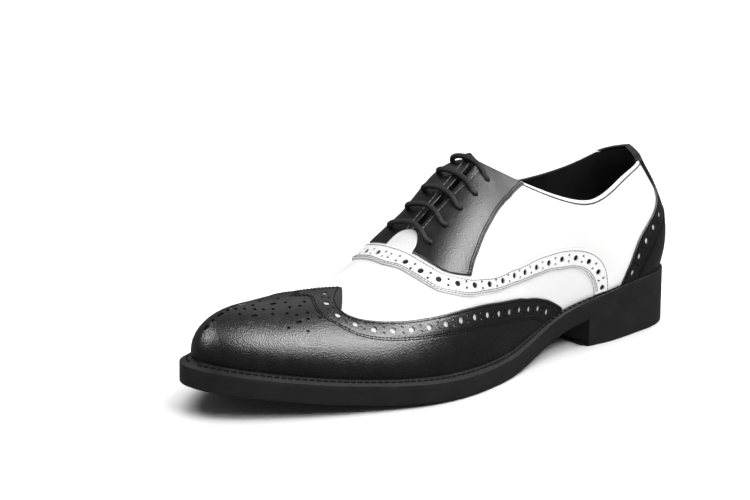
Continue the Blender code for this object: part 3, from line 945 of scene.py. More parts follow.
def stitch_tree():
    """A short bowed thread on every point."""
    tree, given = geometry_tree("stitches", {"Length": "NodeSocketFloat", "Radius": "NodeSocketFloat",
                                             "Surface": "NodeSocketMaterial"})
    half = reckon(tree, "MULTIPLY", given["Length"], 0.5)
    back = reckon(tree, "MULTIPLY", given["Length"], -0.5)
    sunk = reckon(tree, "MULTIPLY", given["Radius"], -0.5)
    bow = reckon(tree, "MULTIPLY", given["Radius"], 1.6)
    start = add(tree, "ShaderNodeCombineXYZ", {"X": back, "Z": sunk}).outputs[0]
    middle = add(tree, "ShaderNodeCombineXYZ", {"Z": bow}).outputs[0]
    end = add(tree, "ShaderNodeCombineXYZ", {"X": half, "Z": sunk}).outputs[0]
    line = add(tree, "GeometryNodeCurveQuadraticBezier",
               {"Resolution": 4, "Start": start, "Middle": middle, "End": end}).outputs[0]
    profile = add(tree, "GeometryNodeCurvePrimitiveCircle", {"Resolution": 6, "Radius": given["Radius"]})
    thread = add(tree, "GeometryNodeCurveToMesh",
                 {"Curve": line, "Profile Curve": profile.outputs[0], "Fill Caps": True}).outputs[0]
    rows = add(tree, "GeometryNodeInstanceOnPoints",
               {"Points": given["Geometry"], "Instance": thread, "Rotation": turned(tree)}).outputs[0]
    return finish_tree(tree, rows, given["Surface"])


def block_tree(name, kind, inputs):
    """A plain round or square block on every point, as big as the point's size says."""
    tree, given = geometry_tree(name, {"Surface": "NodeSocketMaterial"})
    block = add(tree, kind, inputs).outputs["Mesh"]
    size = carried_vector(tree, "size")
    rows = add(tree, "GeometryNodeInstanceOnPoints",
               {"Points": given["Geometry"], "Instance": block, "Rotation": turned(tree),
                "Scale": size}).outputs[0]
    return finish_tree(tree, rows, given["Surface"])


def kept(tree, geometry, value, label):
    """Keeps a value on the points of a curve for the mesh made from it."""
    made = tree.nodes.new("GeometryNodeCaptureAttribute")
    made.capture_items.new("FLOAT", label)
    tree.links.new(geometry, made.inputs["Geometry"])
    tree.links.new(value, made.inputs[label])
    return made.outputs["Geometry"], made.outputs[label]


def cord_tree():
    """A round cord along a line, with the low ridges of a braid."""
    tree, given = geometry_tree("braided_cord", {"Radius": "NodeSocketFloat", "Step": "NodeSocketFloat",
                                                 "Twist": "NodeSocketFloat", "Relief": "NodeSocketFloat",
                                                 "Surface": "NodeSocketMaterial"})
    line = add(tree, "GeometryNodeMeshToCurve", {"Mesh": given["Geometry"]}).outputs[0]
    even = add(tree, "GeometryNodeResampleCurve", {"Curve": line, "Length": given["Step"]}, mode="LENGTH")
    along = tree.nodes.new("GeometryNodeSplineParameter")
    path, run = kept(tree, even.outputs[0], along.outputs["Length"], "run")
    circle = add(tree, "GeometryNodeCurvePrimitiveCircle", {"Resolution": 16, "Radius": given["Radius"]})
    profile, round_share = kept(tree, circle.outputs[0], along.outputs["Factor"], "turn")
    cord = add(tree, "GeometryNodeCurveToMesh",
               {"Curve": path, "Profile Curve": profile, "Fill Caps": True}).outputs[0]
    angle = reckon(tree, "MULTIPLY", round_share, PLAITS * math.tau)
    lean = reckon(tree, "MULTIPLY", run, given["Twist"])
    waves = [reckon(tree, "SINE", reckon(tree, way, angle, lean)) for way in ("ADD", "SUBTRACT")]
    weave = reckon(tree, "MULTIPLY", *waves)
    raised = reckon(tree, "MULTIPLY", weave, given["Relief"])
    normal = tree.nodes.new("GeometryNodeInputNormal").outputs[0]
    move = add(tree, "ShaderNodeVectorMath", {0: normal, "Scale": raised}, operation="SCALE").outputs[0]
    woven = add(tree, "GeometryNodeSetPosition", {"Geometry": cord, "Offset": move}).outputs[0]
    return finish_tree(tree, woven, given["Surface"])


STITCHES = stitch_tree()
PUNCHES = block_tree("punches", "GeometryNodeMeshCylinder", {"Vertices": 16, "Radius": 1.0, "Depth": 1.0})
RIBS = block_tree("tread_ribs", "GeometryNodeMeshCube", {"Size": (1.0, 1.0, 1.0)})
CORD = cord_tree()


def heading(vectors):
    """Directions in shoe coordinates as directions of the model."""
    return unit(np.asarray(vectors, float)) * np.array([1.0, -1.0, 1.0])


def face_out(made):
    """Turns the faces of a closed mesh outwards."""
    bm = bmesh.new()
    bm.from_mesh(made.data)
    bmesh.ops.recalc_face_normals(bm, faces=bm.faces)
    bm.to_mesh(made.data)
    bm.free()
    return made


def grow(name, points, tree, values, carried, edges=()):
    """The plain mesh that a tree grows from points in mm, which carry directions or sizes."""
    data = bpy.data.meshes.new(name)
    data.from_pydata([tuple(p) for p in place(points)], list(edges), [])
    for label, rows in carried.items():
        layer = data.attributes.new(label, "FLOAT_VECTOR", "POINT")
        layer.data.foreach_set("vector", np.asarray(rows, np.float32).ravel())
    made = link(name, data)
    step = made.modifiers.new(name, "NODES")
    step.node_group = tree
    for item in tree.interface.items_tree:
        if item.in_out == "INPUT" and item.name in values:
            step[item.identifier] = values[item.name]
    return face_out(settle(made))


def near(lines):
    """A tree of points along lines in mm, to measure distances to them."""
    points = np.concatenate([even_path(line[:, :3], NEAR_STEP) for line in lines])
    tree = KDTree(len(points))
    for i, p in enumerate(points):
        tree.insert(p, i)
    tree.balance()
    return tree


def distances(tree, points):
    """Distance in mm from each point to the nearest line."""
    return np.array([tree.find(p)[2] for p in points])


def shell_data(grids, top, low, edges=None, grooves=None, folds=None):
    """A closed leather sheet over welded grids on the form; top is a height or gives one for each point."""
    bm = bmesh.new()
    for points, flip in grids:
        verts = [[bm.verts.new(p) for p in line] for line in points]
        for i in range(len(verts) - 1):
            for j in range(len(verts[0]) - 1):
                quad = [verts[i][j], verts[i + 1][j], verts[i + 1][j + 1], verts[i][j + 1]]
                bm.faces.new(quad[::-1] if flip else quad)
    bmesh.ops.remove_doubles(bm, verts=bm.verts, dist=WELD)
    bmesh.ops.dissolve_degenerate(bm, edges=bm.edges, dist=WELD)
    bm.normal_update()
    bm.verts.index_update()
    base = np.array([v.co for v in bm.verts])
    out = np.array([v.normal for v in bm.verts])
    faces = [[v.index for v in f.verts] for f in bm.faces]
    rim = []
    for edge in bm.edges:
        if edge.is_boundary:
            loop = edge.link_loops[0]
            rim.append((loop.vert.index, loop.link_loop_next.vert.index))
    bm.free()
    from_middle = base[:, [0, 2]] - np.array([0.0, MIDDLE_HIGH])
    if (from_middle * out[:, [0, 2]]).sum() < 0:
        out = -out
        faces = [f[::-1] for f in faces]
        rim = [(b, a) for a, b in rim]
    tops = top(base) if callable(top) else np.full(len(base), float(top))
    lows = np.full(len(base), float(low))
    if edges is not None:
        d = np.clip(distances(edges, base) / EDGE_ROUND, 0, 1)
        tops -= EDGE_ROUND * (1 - np.sqrt(1 - (1 - d) ** 2))
    if grooves is not None:
        tops -= GROOVE_DEEP * np.exp(-(distances(grooves, base) / GROOVE_WIDE) ** 2)
    if folds is not None:
        deep = 1 - ease(*FOLD_REACH, distances(folds, base))
        lows += (FOLD_LOW - low) * deep
    count = len(base)
    vertices = place(np.concatenate([base + out * tops[:, None], base + out * lows[:, None]]))
    quads = faces + [[i + count for i in f[::-1]] for f in faces]
    quads += [[b, a, a + count, b + count] for a, b in rim]
    # s runs against the model's Y, so the faces turn round to point outwards
    return vertices, [quad[::-1] for quad in quads]


def cut(made, holes):
    """Punches holes, given as points, normals and two radii, out of a closed piece."""
    points = [hole[0] for hole in holes]
    carried = {"out": heading([hole[1] for hole in holes]),
               "ahead": heading([(0.0, 1.0, 0.0)] * len(holes)),
               "size": np.array([(hole[3], hole[2], 2 * HOLE_DEEP) for hole in holes]) * MM}
    tool = grow("punches", points, PUNCHES, {}, carried)
    step = made.modifiers.new("punch", "BOOLEAN")
    step.operation = "DIFFERENCE"
    step.solver = "MANIFOLD"
    step.object = tool
    settle(made)
    bpy.data.objects.remove(tool)
    return made


def hole_at(t, v, side, wide, long):
    """A hole at shares t and v, with its long way along the shoe."""
    point = form(np.array(t), np.array(v), side)
    return point, normals(np.array(t), np.array(v), side), wide, long


def row_at(line, run):
    """The row of a trail at a run in mm along it."""
    runs = np.arange(len(line)) * WALK_STEP
    return np.array([np.interp(run, runs, values) for values in line.T])


def hole_row(table, side, pitch, pair_out, ends):
    """Big holes along a curve at an even pitch, with a pair of small holes between each two."""
    line = trail(table, side, WALK_STEP)
    run = len(line) * WALK_STEP
    count = max(int(round((run - (ends[0] + ends[1]) * pitch) / pitch)), 1)
    at = np.linspace(ends[0] * pitch, run - ends[1] * pitch, count + 1)
    holes = []
    for k, d in enumerate(at):
        t, v = row_at(line, d)[3:]
        holes.append(hole_at(t, v, side, BIG_HOLE, BIG_HOLE))
        if k < count:
            between = (d + at[k + 1]) / 2
            t, v = row_at(line, between)[3:]
            point, normal = hole_at(t, v, side, SMALL_HOLE, SMALL_HOLE)[:2]
            ahead = row_at(line, between + 1)[:3] - row_at(line, between - 1)[:3]
            across = unit(np.cross(normal, ahead))
            for way in (1, -1):
                holes.append((point + across * pair_out * way, normal, SMALL_HOLE, SMALL_HOLE))
    return holes


def brogue(table, pitch, pair_out, ends):
    """The punched holes of one strip on both sides of the shoe."""
    return [hole for side in SIDES for hole in hole_row(table, side, pitch, pair_out, ends)]


def dense(count, close, length, both=False):
    """Shares from 0 to 1 with close rows, given in mm from the end of a length, near the ends."""
    near_end = np.array(close) / length
    inside = np.linspace(near_end[-1] if both else 0, 1 - near_end[-1], count)
    parts = [inside, 1 - near_end[:-1][::-1]]
    if both:
        parts.insert(0, near_end[:-1])
    return np.unique(np.concatenate(parts).round(6))


def panel_grid(rows, side, count):
    """Points of a panel whose columns run from the feather up to its edge, with close rows at the edge."""
    table = np.asarray(rows, float)
    start = form(table[:, 2], np.full(len(table), 0.0), side)
    end = form(table[:, 0], table[:, 1], side)
    length = np.maximum(np.linalg.norm(end - start, axis=1), LEAST_COLUMN)
    shrink = np.minimum(1, length / SHORT_COLUMN)
    close = 1 - np.array(CLOSE)[None, :] * (shrink / length)[:, None]
    inside = np.linspace(0, 1, count)[None, :-1] * close[:, -1:]
    q = np.concatenate([inside, close[:, ::-1]], 1)
    foot = table[:, 2:3]
    t = foot + (table[:, 0:1] - foot) * q
    v = table[:, 1:2] * q
    return form(np.clip(t, 0, 1), np.clip(v, 0, 1), side)


def with_crown(edge, end, count):
    """A panel's edge rows, carried on up the middle line to an end of the form."""
    share = np.linspace(0, 1, count + 1)[1:, None]
    t, _, foot = edge[-1]
    crown = [t + (end - t) * share, 1 + 0 * share, foot + (end - foot) * share]
    return np.concatenate([edge, np.concatenate(crown, 1)])


def edge_lines(edge):
    """A panel's upper edge on both sides, as points."""
    shares = np.clip(edge, 0, 1)
    return [form(shares[:, 0], shares[:, 1], side) for side in SIDES]


def grids_over(t, v):
    """Grids on both sides of the form over rows of t and v."""
    tt, vv = np.meshgrid(t, v, indexing="ij")
    return [(form(tt, vv, side), side < 0) for side in SIDES]


def stitch_rows(name, lines, stitch, surface):
    """Rows of stitches along lines of points and normals: threads that dip into the leather."""
    pitch, share, radius = stitch
    points = []
    outs = []
    aheads = []
    for line, normal in lines:
        run = np.concatenate([[0], np.cumsum(np.linalg.norm(np.diff(line, axis=0), axis=1))])
        at = (np.arange(int(run[-1] / pitch)) + 0.5) * pitch
        start, middle, end = (np.stack([np.interp(at + d, run, line[:, c]) for c in range(3)], -1)
                              for d in (-pitch / 2, 0, pitch / 2))
        points.append(middle)
        outs.append(np.stack([np.interp(at, run, normal[:, c]) for c in range(3)], -1))
        aheads.append(end - start)
    values = {"Length": pitch * share * MM, "Radius": radius * MM, "Surface": surface}
    carried = {"out": heading(np.concatenate(outs)), "ahead": heading(np.concatenate(aheads))}
    made = grow(name, np.concatenate(points), STITCHES, values, carried)
    return dress(made, sharp=180)


def on_top(table, side, height, aside=0.0):
    """A line over a panel: its points at a height and their normals, moved aside within the surface."""
    line = trail(table, side, WALK_STEP)
    normal = normals(line[:, 3], line[:, 4], side)
    if aside:
        ahead = np.gradient(line[:, :3], axis=0)
        line = line.copy()
        line[:, :3] += unit(np.cross(normal, ahead)) * aside
    return line[:, :3] + normal * height, normal


def seams(rows, height=PANEL_TOP):
    """Stitch lines on both sides: each row holds a curve and how far the line lies aside from it."""
    return [on_top(table, side, height, aside * side) for side in SIDES for table, aside in rows]


def near_seams(lines):
    """A tree of points along stitch lines, for the grooves that they lie in."""
    return near([line[0] for line in lines])


def rim_line(start, end, side):
    """The top line between two shares, as points."""
    return top_line(np.linspace(start, end, 400), side)


def tuck(t):
    """How far the white body stops below the top line, where the stay or a facing folds over it."""
    stay = 1 - ease(*STAY_END, t)
    facing = ease(*FACING_BACK_END, t) * (1 - ease(*FACING_FRONT_END, t))
    return TUCK * np.maximum(stay, facing)


def make_body():
    """The white body of the upper, its black lining and the stitching round the collar."""
    t = dense(BODY_COLUMNS, END_CLOSE, SHOE_RUN, both=True)
    tt, vv = np.meshgrid(t, dense(BODY_ROWS, CLOSE, SIDE_RUN), indexing="ij")
    grids = [(form(tt, vv * (1 - tuck(tt)), side), side < 0) for side in SIDES]
    tt, vv = np.meshgrid(t[::2], dense(LINING_ROWS, CLOSE, SIDE_RUN), indexing="ij")
    lining = [(form(tt, vv * (1 - LINING_SHORT - tuck(tt)), side), side < 0) for side in SIDES]
    rims = [rim_line(0.0, SLIT_END, side) for side in SIDES]
    stitch = seams([(COLLAR_STITCH, 0.0)], BODY_TOP)
    vertices, faces = shell_data(grids, BODY_TOP, BODY_LOW, near(rims), near_seams(stitch))
    dress(solid("white_upper", vertices, faces, WHITE_LEATHER), ["upper"])
    vertices, faces = shell_data(lining, LINING_TOP, LINING_LOW)
    dress(solid("lining", vertices, faces, LINING))
    stitch_rows("collar_stitches", stitch, COLLAR_THREAD, BLACK_THREAD)


def middle_x(s):
    """x of the toe's middle line."""
    tip_s, tip_x = TOE_TIP
    return np.interp(s, np.append(column(RIDGE, 1), tip_s), np.append(column(RIDGE, 2), tip_x))


def medallion():
    """Small round and oval holes over the toe, laid out about its middle line."""
    t, v = np.meshgrid(np.linspace(*TOE_COLUMNS), np.linspace(*TOE_ROWS), indexing="ij")
    tree = KDTree(2 * t.size)
    for n, side in enumerate(SIDES):
        for i, p in enumerate(form(t, v, side).reshape(-1, 3)):
            tree.insert((p[0], p[1], 0), n * t.size + i)
    tree.balance()
    holes = []
    for out, s in OVALS + DOTS:
        oval = (out, s) in OVALS
        for way in ((1, -1) if out else (1,)):
            x = float(middle_x(s)) + out * way
            found = tree.find((x, s, 0))[1]
            side = SIDES[found // t.size]
            i = found % t.size
            long, wide = (OVAL_LONG, OVAL_WIDE) if oval else (DOT_HOLE, DOT_HOLE)
            holes.append(hole_at(t.flat[i], v.flat[i], side, wide, long))
    return holes


def make_wing_cap():
    """The black toe cap with its wings, punched holes and stitches."""
    edge = smooth_rows(WING_EDGE, EDGE_STEPS)
    rows = with_crown(edge, 1, WING_CROWN)
    grids = [(panel_grid(rows, side, WING_ROWS), side < 0) for side in SIDES]
    stitch = seams([(WING_EDGE, -WING_SEAM), (WING_STITCH, 0.0), (WING_STITCH, SEAM_GAP)])
    vertices, faces = shell_data(grids, PANEL_TOP, PANEL_LOW, near(edge_lines(edge)), near_seams(stitch))
    made = solid("wing_cap_leather", vertices, faces, BLACK_LEATHER)
    holes = medallion() + brogue(WING_HOLES, WING_PITCH, PAIR_OUT, (0.0, 0.2))
    dress(cut(made, holes), ["wing_cap"])
    backing = grids_over(np.linspace(*TOE_BACKING_COLUMNS), np.linspace(*TOE_BACKING_ROWS))
    vertices, faces = shell_data(backing, BACKING_TOP, BACKING_LOW)
    dress(solid("medallion_backing", vertices, faces, LINING))
    stitch_rows("wing_stitches", stitch, SEAM_THREAD, BLACK_THREAD)


def make_counter():
    """The black heel counter, which folds over the collar at the back as a stay."""
    edge = smooth_rows(COUNTER_EDGE, EDGE_STEPS)
    rows = with_crown(edge, 0, COUNTER_CROWN)
    grids = [(panel_grid(rows, side, COUNTER_ROWS), side < 0) for side in SIDES]
    collar = [rim_line(0.0, STAY_RIM, side) for side in SIDES]
    folded = [rim_line(0.0, STAY_FOLD, side) for side in SIDES]
    stitch = seams([(COUNTER_EDGE, COUNTER_SEAM), (COUNTER_STITCH, 0.0), (COUNTER_STITCH, -SEAM_GAP)])
    vertices, faces = shell_data(grids, PANEL_TOP, PANEL_LOW, near(edge_lines(edge) + collar),
                                 near_seams(stitch), near(folded))
    made = solid("counter_leather", vertices, faces, BLACK_LEATHER)
    holes = brogue(COUNTER_HOLES, COUNTER_PITCH, PAIR_OUT, (0.2, 0.3))
    dress(cut(made, holes), ["heel_counter"])
    stitch_rows("counter_stitches", stitch, SEAM_THREAD, BLACK_THREAD)


def make_band():
    """The white brogued band over a dark backing that shows through its holes."""
    table = np.clip(smooth_rows(BAND_EDGE, BAND_STEPS), 0, 1)
    grids = []
    backing = []
    for side in SIDES:
        for into, q in ((grids, dense(BAND_ROWS, CLOSE, BAND_WIDE, both=True)),
                        (backing, np.linspace(*BAND_BACKING))):
            t = table[:, 0:1] + (table[:, 2:3] - table[:, 0:1]) * q
            v = table[:, 1:2] + (table[:, 3:4] - table[:, 1:2]) * q
            into.append((form(t, v, side), side < 0))
    rims = edge_lines(table[:, :2]) + edge_lines(table[:, 2:])
    upper = [row[:2] for row in BAND_EDGE]
    lower = [row[2:] for row in BAND_EDGE]
    stitch = seams([(upper, BAND_SEAM), (lower, -LOW_SEAM), (lower, -LOW_SEAM - BAND_GAP)])
    vertices, faces = shell_data(grids, PANEL_TOP, PANEL_LOW, near(rims), near_seams(stitch))
    made = solid("band_leather", vertices, faces, WHITE_LEATHER)
    holes = brogue(BAND_HOLES, BAND_PITCH, BAND_PAIR_OUT, (0.0, 0.1))
    dress(cut(made, holes), ["brogue_band"])
    vertices, faces = shell_data(backing, BACKING_TOP, BACKING_LOW)
    dress(solid("band_backing", vertices, faces, LINING))
    # The band's white stitches are darkened to grey as painted shade
    stitch_rows("band_stitches", stitch, BAND_THREAD, SHADED_WHITE_THREAD)


def walk(table, share):
    """Shares t and v at shares of the way along a smooth curve through a table."""
    rows = smooth_rows(table, WALK_ROWS)
    at = share.ravel() * (len(rows) - 1)
    return np.stack([np.interp(at, np.arange(len(rows)), rows[:, k]) for k in (0, 1)], -1)


def facing_patch(across, along):
    """Shares of a facing between the slit, the collar, its rear edge and its foot."""
    p = across[:, None, None]
    q = along[None, :, None]
    front = np.array(FACING_FOOT[0])
    back = np.array(FACING_FOOT[-1])
    front_top = np.array(FACING_TOP)
    back_top = np.array(FACING_REAR[-1])
    foot = walk(FACING_FOOT, p)[:, None, :]
    rear = walk(FACING_REAR, q)[None, :, :]
    slit = front + (front_top - front) * q
    top = front_top + (back_top - front_top) * p
    low_line = (1 - p) * front + p * back
    high_line = (1 - p) * front_top + p * back_top
    flat = (1 - q) * (foot - low_line) + q * (top - high_line) + (1 - p) * slit + p * rear
    return np.clip(flat, 0, 1)


def make_facings():
    """The black facings, folded over the slit's edge, with their eyelets."""
    patch = facing_patch(dense(FACING_COLUMNS, CLOSE, FACING_WIDE, both=True),
                         dense(FACING_ROWS, CLOSE, FACING_LONG, both=True))
    small = facing_patch(np.linspace(*FACING_BACKING_COLUMNS), np.linspace(*FACING_BACKING_ROWS))
    slit_edge = [(t, SLIT_SEAM) for t in np.linspace(*SLIT_SEAM_RUN)]
    stitch = []
    slit_stitch = []
    for name, side in (("lateral", 1), ("medial", -1)):
        points = form(patch[..., 0], patch[..., 1], side)
        rims = [points[0], points[-1], points[:, 0], points[:, -1]]
        rear = [on_top(FACING_REAR, side, PANEL_TOP, -aside * side) for aside in FACING_SEAMS]
        slit = on_top(slit_edge, side, PANEL_TOP)
        stitch += rear
        slit_stitch.append(slit)
        # The fold stops short of the corners
        folds = near([points[0, 4:-3], points[3:-6, -1]])
        vertices, faces = shell_data([(points, side < 0)], PANEL_TOP, PANEL_LOW, near(rims),
                                     near_seams(rear + [slit]), folds)
        made = solid("facing_leather_" + name, vertices, faces, BLACK_LEATHER)
        cut(made, [hole_at(t, v, side, EYELET_HOLE, EYELET_HOLE) for t, v in EYELETS])
        dress(made, ["facing_" + name])
        points = form(small[..., 0], small[..., 1], side)
        vertices, faces = shell_data([(points, side < 0)], BACKING_TOP, BACKING_LOW)
        dress(solid("facing_backing_" + name, vertices, faces, LINING))
    stitch_rows("facing_stitches", stitch, FACING_THREAD, BLACK_THREAD)
    # The slit's stitches are grey as a painted highlight along the facings' edges
    stitch_rows("slit_stitches", slit_stitch, SLIT_THREAD, HIGHLIGHT_GREY_THREAD)


def tab_height(points):
    """Height of the tab's top: it slopes down to the facings at its front."""
    return TAB_TOP + (PANEL_TOP - TAB_TOP) * ease(*TAB_SLOPE, points[:, 1])


def make_tab():
    """The white rounded tab over the foot of the slit."""
    grids = []
    rims = []
    p = (1 - np.cos(np.linspace(0, math.pi / 2, TAB_COLUMNS)))[:, None]
    q = dense(TAB_ROWS, CLOSE, TAB_WIDE)[None, :]
    for side, widest in zip(SIDES, (TAB_OUTER, TAB_INNER)):
        reach = widest * np.sqrt(np.clip(1 - (1 - p) ** TAB_POWER, 0, 1))
        t = TAB_START + (TAB_FOOT - TAB_START) * p + 0 * q
        v = 1 - np.maximum(reach, TAB_LEAST) * q
        points = form(t, v, side)
        points[:, 0, 0] = curve_through(column(RIDGE, 0), column(RIDGE, 2), t[:, 0])
        grids.append((points, side < 0))
        rims.append(points[:, -1])
    vertices, faces = shell_data(grids, tab_height, TAB_LOW, near(rims))
    dress(solid("tab_leather", vertices, faces, WHITE_LEATHER), ["throat_tab"])


def make_tongue():
    """The padded tongue under the facings, rounded at its top."""
    rows = []
    for t in np.linspace(TONGUE_START, TONGUE_END, TONGUE_ROWS):
        reach = TONGUE_REACH * (1 - TONGUE_TAPER * ease(TAPER_START, TONGUE_END, t))
        v = np.linspace(1 - reach, 1, TONGUE_COLUMNS)
        outer, inner = (form(np.full(TONGUE_COLUMNS, t), v, side) for side in SIDES)
        middle = (outer[-1:] + inner[-1:]) / 2
        rows.append(np.concatenate([outer, middle, inner[::-1]]))
    last = rows[-1]
    centre = last[TONGUE_COLUMNS]
    step = unit(centre - rows[-4][TONGUE_COLUMNS])
    across = np.linspace(1, -1, len(last))[:, None]
    knob = np.concatenate([TIP_HALF * across, 0 * across, -TIP_DROP * across ** 2], 1)
    for share in np.linspace(0, 1, TIP_ROWS + 1)[1:]:
        flat = ease(0.0, TIP_FLAT, share)
        narrow = (1 - share ** TIP_POWER) ** (1 / TIP_POWER)
        rise = TIP_RISE * ease(*TIP_BEND, share)
        moved = step * TIP_LONG * share + np.array([TIP_ASIDE * share, 0, rise])
        row = (last - centre) * (1 - flat) + knob * flat
        rows.append(centre + row * max(narrow, TIP_LEAST) + moved)
    grid = np.array(rows)
    rims = [grid[:, 0], grid[:, -1], grid[-1]]
    vertices, faces = shell_data([(grid, False)], TONGUE_TOP, TONGUE_LOW, near(rims))
    dress(solid("tongue_leather", vertices, faces, BLACK_LEATHER), ["tongue"])


def make_laces():
    """The lace in five straight bars, which come up through one eyelet and go down the other."""
    for number, (t, v) in enumerate(EYELETS, 1):
        eyes = [form(np.array(t), np.array(v), side) for side in SIDES]
        outs = [normals(np.array(t), np.array(v), side) for side in SIDES]
        across = unit(eyes[1] - eyes[0])
        middle = (eyes[0] + eyes[1]) / 2
        middle[2] = form(np.array(t), np.array(1.0), 1)[2] + LACE_OVER
        points = []
        for eye, toward, out, along in LACE_PATH:
            start = eyes[eye] * (1 - toward) + middle * toward
            points.append(start + outs[eye] * out + across * along)
        numbers = np.arange(len(points))
        at = np.linspace(0, len(points) - 1, LACE_POINTS)
        path = np.stack([curve_through(numbers, column(points, k), at) for k in range(3)], -1)
        edges = [(k, k + 1) for k in range(len(path) - 1)]
        values = {"Radius": LACE_RADIUS * MM, "Step": LACE_STEP * MM, "Twist": LACE_TWIST / MM,
                  "Relief": LACE_RELIEF * MM, "Surface": LACE}
        made = grow("lace_%d" % number, path, CORD, values, {}, edges)
        dress(made, ["lace_bar_%d" % number], 80)


def plate(name, profile, surface, replaces, start=0.0, end=1.0, count=150):
    """A closed plate of the sole's plan: profile rows hold share, inset, a line and a rise over it."""
    t = start + (end - start) * np.linspace(0, 1, count + 1)
    t = np.clip(t, END_GAP, 1 - END_GAP)
    lines = []
    for side in SIDES:
        side_lines = []
        for share, inset, line, rise in profile:
            x, s = ring(t, side, share, inset)
            side_lines.append(np.stack([x, s, line(s) + rise], -1))
        lines.append(np.array(side_lines))
    outer, inner = lines
    around = np.concatenate([outer, inner[:, ::-1]], 1)
    rows, length = around.shape[:2]
    vertices = place(around.reshape(-1, 3))
    faces = []
    for i in range(rows - 1):
        for k in range(length):
            n = (k + 1) % length
            faces.append([i * length + k, i * length + n, (i + 1) * length + n, (i + 1) * length + k])
    for base, flip in ((0, True), ((rows - 1) * length, False)):
        for k in range(count):
            quad = [base + k, base + k + 1, base + length - 2 - k, base + length - 1 - k]
            faces.append(quad[::-1] if flip else quad)
    made = face_out(solid(name, vertices, faces, surface))
    return dress(made, replaces, 50)


def tread(name, start, end, line, surface):
    """Ribs across the bottom of the sole or heel, in its shallow recess under a line."""
    t = np.linspace(0, 1, 2001)
    outer, s_outer = ring(t, 1, 0, TREAD_RIM + RIB_GAP)
    inner, s_inner = ring(t, -1, 0, TREAD_RIM + RIB_GAP)
    places = np.arange(start, end, TREAD_PITCH)
    heights = line(places)
    tall = TREAD_DEEP + RIB_SUNK
    points = []
    sizes = []
    for s, height in zip(places, heights):
        high = np.interp(s, s_outer, outer)
        low = np.interp(s, s_inner, inner)
        points.append(((high + low) / 2, s, height + tall / 2 + RIB_LIFT))
        sizes.append((high - low, TREAD_RIB, tall))
    slope = np.gradient(heights, TREAD_PITCH)
    carried = {"out": heading([(0.0, -k, 1.0) for k in slope]),
               "ahead": heading([(1.0, 0.0, 0.0)] * len(points)),
               "size": np.array(sizes) * MM}
    return dress(grow(name, points, RIBS, {"Surface": surface}, carried))


def ground(s):
    """Height of the floor."""
    return 0 * s


def feather_top(s):
    """Height of the feather line."""
    return edge_top(s) + rise_at(s)


def welt_slope(s):
    """Height of the welt halfway in from its edge."""
    return edge_top(s) + rise_at(s) * 0.45


def make_sole():
    """Heel, outsole, welt with its stitches, and the sock inside."""
    seam = WELT_THICK + PLATE_GAP
    plate("outsole_rubber",
          [(0, TREAD_RIM + 0.3, under, TREAD_DEEP),
           (0, TREAD_RIM, under, 0),
           (0, 1.1, under, 0),
           (0, 0.35, under, 0.12),
           (0, 0.08, under, 0.45),
           (0, SIDE_IN, under, 1.0),
           (0, SIDE_IN, edge_top, -seam),
           (0, 9, edge_top, -seam)],
          RUBBER, ["outsole"])
    shares = np.linspace(0, 1, 4001)
    breast = float(np.interp(HEEL_BREAST, ring(shares, 1, 0, 0)[1], shares))
    plate("heel_rubber",
          [(0, TREAD_RIM + 0.3, ground, TREAD_DEEP),
           (0, TREAD_RIM, ground, 0),
           (0, 0.9, ground, 0),
           (0, 0.3, ground, 0.1),
           (0, 0.05, ground, 0.4),
           (0, -0.02, ground, 0.9),
           (0, -0.02, under, HEEL_SUNK),
           (0, 3.0, under, HEEL_SUNK)],
          RUBBER, ["heel"], 0.0, breast, 70)
    tread("sole_tread", HEEL_BREAST + 6, LENGTH - 6, under, RUBBER)
    tread("heel_tread", 6, HEEL_BREAST - 4, ground, RUBBER)
    plate("welt_rim",
          [(0, SIDE_IN, edge_top, -WELT_THICK),
           (0, SIDE_IN, edge_top, -0.5),
           (0, 0.12, edge_top, -0.15),
           (0, 0.45, edge_top, 0),
           (0.5, 0.2, welt_slope, 0),
           (1, 0.0, feather_top, -0.1),
           (1, 2.4, feather_top, -0.1)],
          WELT, ["welt"])
    plate("sock",
          [(1, 3.9, edge_top, -1.0),
           (1, 3.9, feather_top, 0.7),
           (1, 4.2, feather_top, 1.0)],
          LINING, ["insole"])
    lines = []
    for side in SIDES:
        x, s = ring(np.linspace(*WELT_SEAM_RUN), side, 0.52, 0.2)
        points = np.stack([x, s, edge_top(s) + rise_at(s) * 0.5 + 0.1], -1)
        lines.append((points, np.zeros_like(points) + np.array([0.0, 0.0, 1.0])))
    stitch_rows("welt_stitches", lines, WELT_THREAD, BLACK_THREAD)


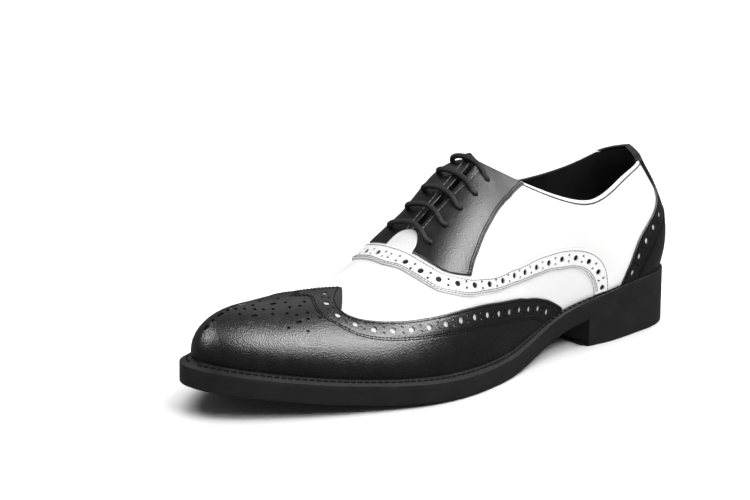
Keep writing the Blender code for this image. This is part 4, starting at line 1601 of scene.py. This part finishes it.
def softbox(name, place_at, aim, size, power, fills, shines):
    """A soft rectangular studio light, which may leave out the even light or the gloss."""
    light = bpy.data.lights.new(name, "AREA")
    light.shape = "RECTANGLE"
    light.size, light.size_y = size
    light.energy = power
    made = bpy.data.objects.new(name, light)
    made.location = place_at
    made.rotation_euler = (Vector(aim) - Vector(place_at)).to_track_quat("-Z", "Y").to_euler()
    made.visible_diffuse = fills
    made.visible_glossy = shines
    bpy.context.scene.collection.objects.link(made)


def make_floor():
    """A plain pale floor that the gloss of the leather doesn't see, so that its blacks stay black."""
    bm = bmesh.new()
    bmesh.ops.create_grid(bm, x_segments=2, y_segments=2, size=6)
    data = bpy.data.meshes.new("floor")
    bm.to_mesh(data)
    bm.free()
    floor = link("floor", data)
    data.materials.append(material("floor", (0.93, 0.93, 0.93), 0.35))
    floor.visible_glossy = False


def make_lights():
    """Even grey air and the soft studio lights."""
    world = bpy.data.worlds.new("studio")
    world.use_nodes = True
    air = world.node_tree.nodes["Background"]
    air.inputs["Color"].default_value = (1, 1, 1, 1)
    air.inputs["Strength"].default_value = AIR_LIGHT
    bpy.context.scene.world = world
    for light in LIGHTS:
        softbox(*light)


def make_camera():
    """The camera at the photograph's angle."""
    az = math.radians(CAMERA_AZIMUTH)
    el = math.radians(CAMERA_HEIGHT)
    roll = math.radians(CAMERA_ROLL)
    back = Vector((math.sin(az) * math.cos(el), -math.cos(az) * math.cos(el), math.sin(el)))
    right = Vector((math.cos(az), math.sin(az), 0))
    up = back.cross(right)
    right_turned = right * math.cos(roll) + up * math.sin(roll)
    up_turned = up * math.cos(roll) - right * math.sin(roll)
    camera = bpy.data.cameras.new("camera")
    camera.sensor_width = 36
    camera.lens = CAMERA_LENS
    camera.clip_start = 0.05
    made = bpy.data.objects.new("camera", camera)
    turn = Matrix((right_turned, up_turned, back)).transposed().to_4x4()
    made.matrix_world = Matrix.Translation(Vector(CAMERA_AIM) + back * CAMERA_FAR) @ turn
    bpy.context.scene.collection.objects.link(made)
    bpy.context.scene.camera = made
    bpy.context.scene.view_settings.view_transform = "Standard"


make_body()
make_wing_cap()
make_counter()
make_band()
make_facings()
make_tab()
make_tongue()
make_laces()
make_sole()
make_floor()
make_lights()
make_camera()
